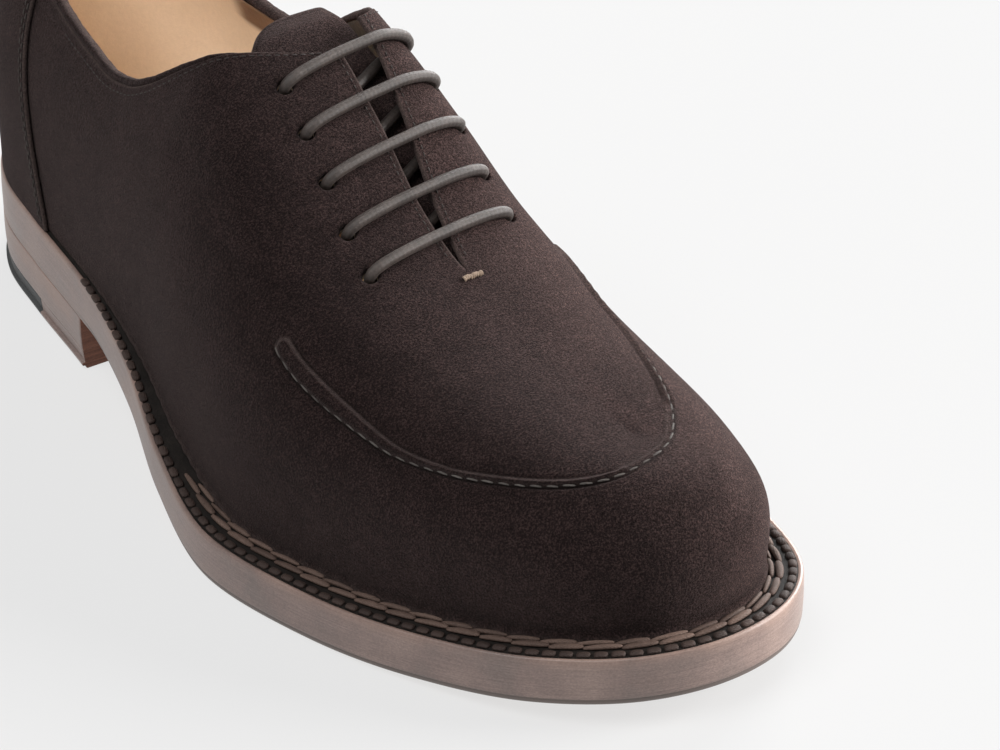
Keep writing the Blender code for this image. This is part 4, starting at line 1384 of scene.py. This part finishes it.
def build_aglets(finish):
    """Hard tips over both ends of the lace, a little waisted where they were crimped on."""
    route = lace_points()
    made = []
    turn = round_turn(24)
    for name, tip, before in (("aglet_inner", route[0], route[1]), ("aglet_outer", route[-1], route[-2])):
        ahead = (tip - before) / np.linalg.norm(tip - before)
        u = np.concatenate([[0, 0, 0.01, 0.04], np.linspace(0.1, 0.9, 17), [0.95, 0.985, 1, 1]])
        size = LACE_R * 0.86 * (1 - 0.12 * u - 0.06 * hump(u, 0.16, 0.05) - 0.06 * hump(u, 0.3, 0.05))
        size *= np.sqrt(np.clip(np.minimum(u, 1 - u) / 0.02, 0, 1))
        side = np.cross(ahead, (0.0, 0.0, 1.0))
        side /= np.linalg.norm(side)
        other = np.cross(ahead, side)
        centre = tip + ahead * (AGLET_GAP + AGLET_LENGTH * u)[:, None]
        size = size[:, None]
        rings = tube(centre, side[None], other[None], size * np.cos(turn), size * np.sin(turn))
        piece = body(name + "_tip", rings.reshape(-1, 3), quads_of(len(u), len(turn), 0, True), [finish])
        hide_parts(name)
        made.append(piece)
    return made


def build_tack(finish):
    """Bar tack across the foot of the throat: thread wraps over a short core."""
    pile = Pile()
    wraps = 9
    for number in range(wraps):
        x = (number - (wraps - 1) / 2) * 0.62
        u = np.linspace(0, 1, 9)
        s = TACK + 1.2 + 1.5 * u + 0.12 * math.sin(number * 1.7)
        w = LAST.off_ridge(s, abs(x) + 0 * u, 1 if x > 0 else -1)
        up = LAST.normal(s, w)
        centre = LAST.at(s, w, -0.1 - 0.62 * np.sin(u * math.pi) ** 0.7)
        ahead = np.gradient(centre, axis=0)
        across = unit(np.cross(ahead, up))
        shape = 0.36 * pill(u, 4.0)
        bead(pile, centre, across, up, shape, shape * 0.9, number, 8)
    piece = pile.build("throat_tack", finish)
    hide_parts("bar_tack")
    return piece


# ---------------------------------------------------------------- sole and heel


def plan_rows(loop, count, end=None):
    """Outer and inner plan points of a loop for rows that crowd together at its closed ends."""
    outer, inner = sides_of(loop)
    first = outer[0, 0]
    if end is None:
        s = first + (outer[-1, 0] - first) * (1 - np.cos(np.linspace(0, math.pi, count))) / 2
    else:
        s = first + (end - first) * (1 - np.cos(np.linspace(0, math.pi / 2, count)))
    return [np.stack([s, np.interp(s, b[:, 0], b[:, 1])], 1) for b in (outer, inner)]


def flush(distance, rise):
    """Inset round the outline: the bevel under the sole fades out where the heel meets it."""
    if distance > 1.0 or rise > 1.9:
        return distance
    fade = smooth(OUTER[:, 0], BREAST + 1, BREAST + 14)
    return 0.05 + (distance - 0.05) * fade


def ring_body(name, profile, height, rows, spread, finishes, finish_at, end=None, marks=None):
    """Closed body whose rows run round a profile of (inset, rise) on both sides.

    The profile runs from the middle of the top, out and down to the middle of the underside.
    """
    across = np.linspace(0, 1, spread + 2)[1:-1]
    outers = []
    inners = []
    for distance, rise in profile:
        outer, inner = plan_rows(inset(OUTER, flush(distance, rise)), rows, end)
        outers.append(np.column_stack([outer, height(outer[:, 0], rise)]))
        inners.append(np.column_stack([inner, height(inner[:, 0], rise)]))
    below = [outers[-1] + (inners[-1] - outers[-1]) * u for u in across]
    above = [inners[0] + (outers[0] - inners[0]) * u for u in across]
    grid = np.stack(outers + below + inners[::-1] + above, 1)
    rises = [rise for _, rise in profile]
    rises += [rises[-1]] * spread + rises[::-1] + [rises[0]] * spread
    quads = quads_of(rows, grid.shape[1], 0, around=True)
    place_in_row = np.arange(len(quads)) % grid.shape[1]
    middle = np.array(rises + rises[:1])
    step_rise = (middle[:-1] + middle[1:]) / 2
    chosen = None if finish_at is None else finish_at(step_rise, place_in_row, len(profile))
    values = {"rise": np.broadcast_to(np.array(rises), grid.shape[:2]).ravel()}
    if marks is not None:
        rise = values["rise"].reshape(grid.shape[:2])
        values |= {key: made(grid[..., 0], rise).ravel() for key, made in marks.items()}
    return body(name, grid.reshape(-1, 3), quads, finishes, values, chosen)


def build_sole(edge_finish, welt_finish, tread_finish):
    """Sole edge, welt ledge and underside in one skin, with the hollow that holds shank and cork."""
    top = WELT_TOP
    hollow = OUTSOLE_T + LAYER_GAP + MIDSOLE_T
    profile = (
        (WELT_BODY + 0.1, hollow), (WELT_BODY, top - 0.2), (WELT_BODY - 0.4, top),
        (11.0, top), (9.0, top), (7.0, top), (5.0, top), (3.4, top), (2.3, top),
        (1.7, top - 0.16), (1.35, top - 0.18), (1.05, top - 0.02), (0.75, top - 0.02),
        (0.42, top - 0.12), (0.2, top - 0.38), (0.06, top - 0.9), (0.0, top - 1.8),
        (-0.05, 8.6), (-0.08, 6.2), (-0.03, 3.9), (0.02, 2.3), (0.05, 1.8), (0.28, 1.6), (0.32, 1.45),
        (0.24, 1.25), (0.26, 0.8), (0.42, 0.4), (0.75, 0.12),
        (1.2, 0.0), (2.0, 0.0), (4.0, 0.0), (8.0, 0.0), (14.0, 0.0),
    )
    ledge_columns = [i for i, (d, _) in enumerate(profile) if d > 1.2][:11]

    def finish_at(rise, column, count):
        mirrored = np.where(column < count, column, 2 * count + SOLE_SPREAD - 1 - column)
        mirrored = np.where(column >= 2 * count + SOLE_SPREAD, 0, mirrored)
        ledge_part = mirrored <= ledge_columns[-1]
        tread_part = (mirrored >= count - 6) & (mirrored <= count + SOLE_SPREAD)
        return np.where(ledge_part, 1, np.where(tread_part, 2, 0))

    def band(s, rise):
        strength = smooth(s, BREAST - 6, BREAST + 12) * 0.8
        return strength * (1 - smooth(rise, 1.35, 1.75)) + 0.3 * hump(rise, 1.5, 0.2) * strength

    def height(s, rise):
        return under(s) + rise

    finishes = [edge_finish, welt_finish, tread_finish]
    piece = ring_body("sole", profile, height, 420, SOLE_SPREAD, finishes, finish_at, None, {"band": band})
    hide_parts("outsole", "midsole", "norwegian_welt", "heel_rand")
    return piece


def heel_body(name, top, low, start, end, grooves, edge_finish, face_finish, node_names):
    """Part of the stacked heel between two levels, with shallow lines between its lifts."""
    lean = 1.1

    def side_at(z):
        u = 1 - z / HEEL_STACK
        return 0.06 + lean * u - 0.4 * math.sin(u * math.pi)

    levels = np.linspace(top, low, 26)
    profile = [(6.0, top), (side_at(top) + 0.03, top)]
    for z in levels[1:-1]:
        dent = sum(0.07 * math.exp(-(((z - g) / 0.12) ** 2)) for g in grooves)
        profile.append((side_at(z) + dent, z))
    profile += [(side_at(low) + (0.35 if low == 0 else 0.03), low), (6.0, low)]

    def height(s, rise):
        return np.where(rise >= HEEL_STACK - 0.4, under(s) - 0.02, rise) + 0 * s

    piece = ring_body(name, profile, height, 90, 10, [edge_finish, face_finish], None, end)
    if start > 0:
        keep_from(piece, start)
    for polygon in piece.data.polygons:
        toward_toe = -polygon.normal.y > 0.9 and abs(polygon.center.y - (MID_S - end) * MM) < 1e-4
        if toward_toe:
            polygon.material_index = 1
    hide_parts(*node_names)
    return piece


def keep_from(piece, start):
    """Cuts away what lies behind section start, and closes the cut."""
    work = bmesh.new()
    work.from_mesh(piece.data)
    geometry = work.verts[:] + work.edges[:] + work.faces[:]
    where = Vector((0, (MID_S - start) * MM, 0))
    bmesh.ops.bisect_plane(work, geom=geometry, plane_co=where, plane_no=(0, 1, 0), clear_outer=True)
    bmesh.ops.holes_fill(work, edges=[e for e in work.edges if e.is_boundary], sides=0)
    work.to_mesh(piece.data)
    work.free()


def welt_rail(share, rise, start):
    """Path along the welt ledge, this share of the way from the foot of the upper to the edge."""
    loop = np.roll(FOOT, -int(np.argmin(FOOT[:, 0])), 0)
    path = inset(loop, -ledge(loop[:, 0]) * share)
    path = path[loop[:, 0] > start]
    z = under(path[:, 0]) + WELT_TOP + rise
    points = np.column_stack([path, z])
    slope = np.gradient(z) / np.gradient(run_of(path))
    plan = unit(np.gradient(path, axis=0))
    up = np.column_stack([-plan * slope[:, None], np.ones(len(z))])
    return Rail(points, up)


def build_braid(finish, name, share, shift, wide, high, slant, node):
    """Row of leaf-shaped stitches, each laid a little across the row over the next one."""
    rail = welt_rail(share, 0.0, BRAID_START)
    pile = Pile()
    count = int(rail.length / BRAID_PITCH)
    for number in range(count):
        u = np.linspace(0, 1, 21)
        length = BRAID_PITCH * (1.05 + 0.07 * math.sin(number * 3.7 + share * 9))
        a = (number + 0.5 + shift) * BRAID_PITCH + (u - 0.5) * length
        if a[0] < 0 or a[-1] > rail.length:
            continue
        fuller = 0.35 * math.sin(number * 2.4)
        shape = pill(u**0.8, 2.4) * (0.82 + 0.3 * u) * (0.7 + 0.3 * smooth(rail.at(a)[:, 0], 158, 185))
        up = rail.up(a)
        across = rail.across(a)
        lay = (u - 0.5) * slant
        arch = 0.55 * np.sin(u * math.pi) + 0.35 * u
        centre = rail.at(a) + across * lay[:, None] + up * (high * 0.55 + 0.45 * arch)[:, None]
        bead(pile, centre, across, up, (wide + 0.3 * fuller) * shape, high * shape, number + 10 * share, 16)
    piece = pile.build(name, finish)
    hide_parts(node)
    return piece


def build_blocks(finish):
    """Outer row of short rounded stitches along the welt edge."""
    rail = welt_rail(0.71, 0.0, BLOCK_START)
    pile = Pile()
    for number in range(int(rail.length / BLOCK_PITCH)):
        u = np.linspace(0, 1, 15)
        a = (number + 0.5) * BLOCK_PITCH + (u - 0.5) * BLOCK_PITCH * 0.86
        shape = pill(u, 3.2)
        up = rail.up(a)
        high = 0.62 + 0.06 * math.sin(number * 1.9)
        centre = rail.at(a) + up * (0.15 + 0.1 * np.sin(u * math.pi))[:, None]
        bead(pile, centre, rail.across(a), up, 1.08 * shape, high * shape, number, 14)
    piece = pile.build("welt_stitches", finish)
    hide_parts("welt_stitching")
    return piece


def build_sock(finish):
    """Full-length sock, dished a little and turned up at its edge."""
    loop = inset(FOOT, INSOLE_INSET + 0.3)
    low = FEATHER_UP + INSOLE_T + LAYER_GAP
    outer, inner = plan_rows(loop, 240)
    u = np.concatenate([[0, 0.008, 0.02, 0.04], np.linspace(0.07, 0.93, 34), [0.96, 0.98, 0.992, 1]])
    plan = outer[:, None] + (inner - outer)[:, None] * u[None, :, None]
    from_rim = np.minimum(u, 1 - u)[None] * np.linalg.norm(inner - outer, axis=1)[:, None]
    s = plan[..., 0]
    dish = 0.8 * np.exp(-from_rim / 4.5)
    trim = 0.4 * np.clip(1 - from_rim / 0.6, 0, 1) ** 2
    base = under(s) + low
    top = np.concatenate([plan, (base + SOCK_T + dish - trim)[..., None]], 2)
    bottom = np.concatenate([plan, (base + trim)[..., None]], 2)
    piece = shell("sock_leather", [(top, bottom)], [finish])
    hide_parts("sock_liner")
    return piece


# ---------------------------------------------------------------- assembly


def settle(piece, rides=BODY):
    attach(piece, rides)


def build_shoe():
    skin = suede("suede_nap")
    edge = sole_edge("sole_edge_burnished")
    welt = welt_leather("welt_waxed")
    tan = smooth_leather("lining_tan", (0.26, 0.135, 0.065), (0.36, 0.195, 0.10))
    rail = apron_rail()
    upper = build_wholecut(skin, rail)
    lining = build_quarter_lining(lining_skin("lining_quarter"))
    cut_eyelets([upper, lining])
    settle(upper)
    settle(lining)
    grey = thread("thread_grey", (0.07, 0.062, 0.057), (0.14, 0.127, 0.117))
    settle(build_apron_stitches(grey, rail))
    settle(build_heel_cover(skin))
    dark = thread("thread_dark", (0.035, 0.029, 0.027), (0.075, 0.063, 0.058))
    for side, where in ((1, "outer"), (-1, "inner")):
        settle(build_cover_stitches(dark, side, where))
    settle(build_edge_stitches(dark))
    settle(build_binding(skin))
    build_tongue_parts(skin, tan)
    settle(build_lace(lace_cotton("lace_waxed")))
    plastic = board("aglet_plastic", (0.03, 0.022, 0.02), (0.06, 0.045, 0.04), 0.6, 0.0, 0.3)
    for tip in build_aglets(plastic):
        settle(tip)
    beige = thread("thread_beige", (0.2, 0.14, 0.10), (0.42, 0.32, 0.245))
    settle(build_tack(beige))
    build_bottom(edge, welt)
    sock = smooth_leather("sock_pale", (0.60, 0.42, 0.25), (0.74, 0.55, 0.35), 0.5, 0.55, 0.06)
    settle(build_sock(sock))


def build_tongue_parts(skin, tan):
    suede_piece, lining_piece = build_tongue(skin, tan)
    settle(suede_piece, "tongue")
    settle(lining_piece, "tongue")


def build_bottom(edge, welt):
    tread = tread_leather("tread_leather")
    settle(build_sole(edge, welt, tread))
    breast = breast_leather("breast_leather")
    gap = 0.04
    lines = (TOP_PIECE_T + LIFT_PITCH, TOP_PIECE_T + 2 * LIFT_PITCH)
    lifts = ("heel_lift_lower", "heel_lift_middle", "heel_lift_seat")
    settle(
        heel_body("heel_lifts", HEEL_STACK - 0.02, TOP_PIECE_T + gap, 0, BREAST, lines, edge, breast, lifts),
    )
    leather = heel_body(
        "heel_top_piece", TOP_PIECE_T, 0.0, RUBBER_END + gap, BREAST, (), edge, breast, ("top_piece_leather",)
    )
    settle(leather)
    black = rubber("rubber_tip")
    tip_nodes = ("top_piece_rubber",)
    tip = heel_body("heel_rubber_tip", TOP_PIECE_T, 0.0, 0, RUBBER_END, (), black, black, tip_nodes)
    settle(tip)
    brown = thread("thread_brown", (0.05, 0.031, 0.0255), (0.19, 0.128, 0.103), 0.2)
    rows = (
        ("braid_upper", 0.15, 0.0, 0.72, 0.62, 0.6, "norwegian_braid_upper"),
        ("braid_lower", 0.37, 0.48, 0.98, 0.62, 0.5, "norwegian_braid_lower"),
    )
    for name, share, shift, wide, high, slant, node in rows:
        settle(build_braid(brown, name, share, shift, wide, high, slant, node))
    block = thread("thread_block", (0.024, 0.0155, 0.0135), (0.075, 0.05, 0.042), 0.2)
    settle(build_blocks(block))


def dress_hidden_parts():
    """Materials for the CAD nodes that are kept."""
    finishes = {
        "insole": smooth_leather("insole_leather", (0.36, 0.24, 0.14), (0.5, 0.35, 0.22)),
        "vamp_lining": board("vamp_cloth", (0.42, 0.33, 0.23), (0.58, 0.47, 0.35), 0.5),
        "heel_stiffener": board("stiffener_board", (0.36, 0.29, 0.19), (0.5, 0.42, 0.3)),
        "cork_filler": board("cork", (0.22, 0.12, 0.06), (0.5, 0.33, 0.19), 1.6),
        "shank": board("shank_steel", (0.3, 0.3, 0.31), (0.5, 0.5, 0.52), 0.8, 1.0, 0.35),
    }
    finishes["toe_puff"] = finishes["heel_stiffener"]
    for node, finish in finishes.items():
        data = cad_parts[node].data
        data.materials.clear()
        data.materials.append(finish)


def build_stage():
    """Pale floor, camera, a soft key from the inner side and an even sky."""
    mesh = bpy.data.meshes.new("floor")
    corners = ((-1, -1), (1, -1), (1, 1), (-1, 1))
    mesh.from_pydata([(x * FLOOR_REACH, y * FLOOR_REACH, 0) for x, y in corners], [], [(0, 1, 2, 3)])
    mesh.materials.append(floor_finish("floor_pale"))
    floor = bpy.data.objects.new("floor", mesh)
    floor.location.z = -0.0002
    bpy.context.scene.collection.objects.link(floor)
    camera = bpy.data.objects.new("camera", bpy.data.cameras.new("camera"))
    camera.data.lens = LENS
    camera.data.clip_end = 20
    camera.location = CAMERA_AT
    camera.rotation_euler = (Vector(CAMERA_TO) - Vector(CAMERA_AT)).to_track_quat("-Z", "Y").to_euler()
    bpy.context.scene.collection.objects.link(camera)
    bpy.context.scene.camera = camera
    lights = (
        ("key", (0.84, -0.42, 0.40), 4.9, 30, (1.0, 0.985, 0.97)),
        ("rim", (0.9, 0.55, 0.4), 3.4, 35, (1.0, 1.0, 1.0)),
        ("top", (-0.55, -0.05, 1.0), 1.7, 40, (1.0, 1.0, 1.0)),
    )
    for name, toward, strength, spread, colour in lights:
        data = bpy.data.lights.new(name, "SUN")
        data.energy = strength
        data.angle = math.radians(spread)
        data.color = colour
        lamp = bpy.data.objects.new(name, data)
        lamp.rotation_euler = (-Vector(toward)).to_track_quat("-Z", "Y").to_euler()
        bpy.context.scene.collection.objects.link(lamp)
    world = bpy.data.worlds.new("studio")
    world.use_nodes = True
    background = world.node_tree.nodes["Background"]
    background.inputs["Color"].default_value = (0.98, 0.99, 1.0, 1)
    background.inputs["Strength"].default_value = SKY
    bpy.context.scene.world = world
    bpy.context.scene.view_settings.view_transform = "Standard"


OUTER = closed_curve(OUTLINE, 30)
if np.cross(OUTER[100] - OUTER[0], OUTER[200] - OUTER[0]) > 0:
    OUTER = OUTER[::-1]
FOOT = inset(OUTER, ledge(OUTER[:, 0]))
MID_S = (OUTER[:, 0].min() + OUTER[:, 0].max()) / 2
MID_T = (OUTER[:, 1].min() + OUTER[:, 1].max()) / 2
LAST = Last(FOOT)
for startup in ("Cube", "Light", "Camera"):
    if startup in bpy.data.objects:
        bpy.data.objects.remove(bpy.data.objects[startup])
build_stage()
dress_hidden_parts()
build_shoe()
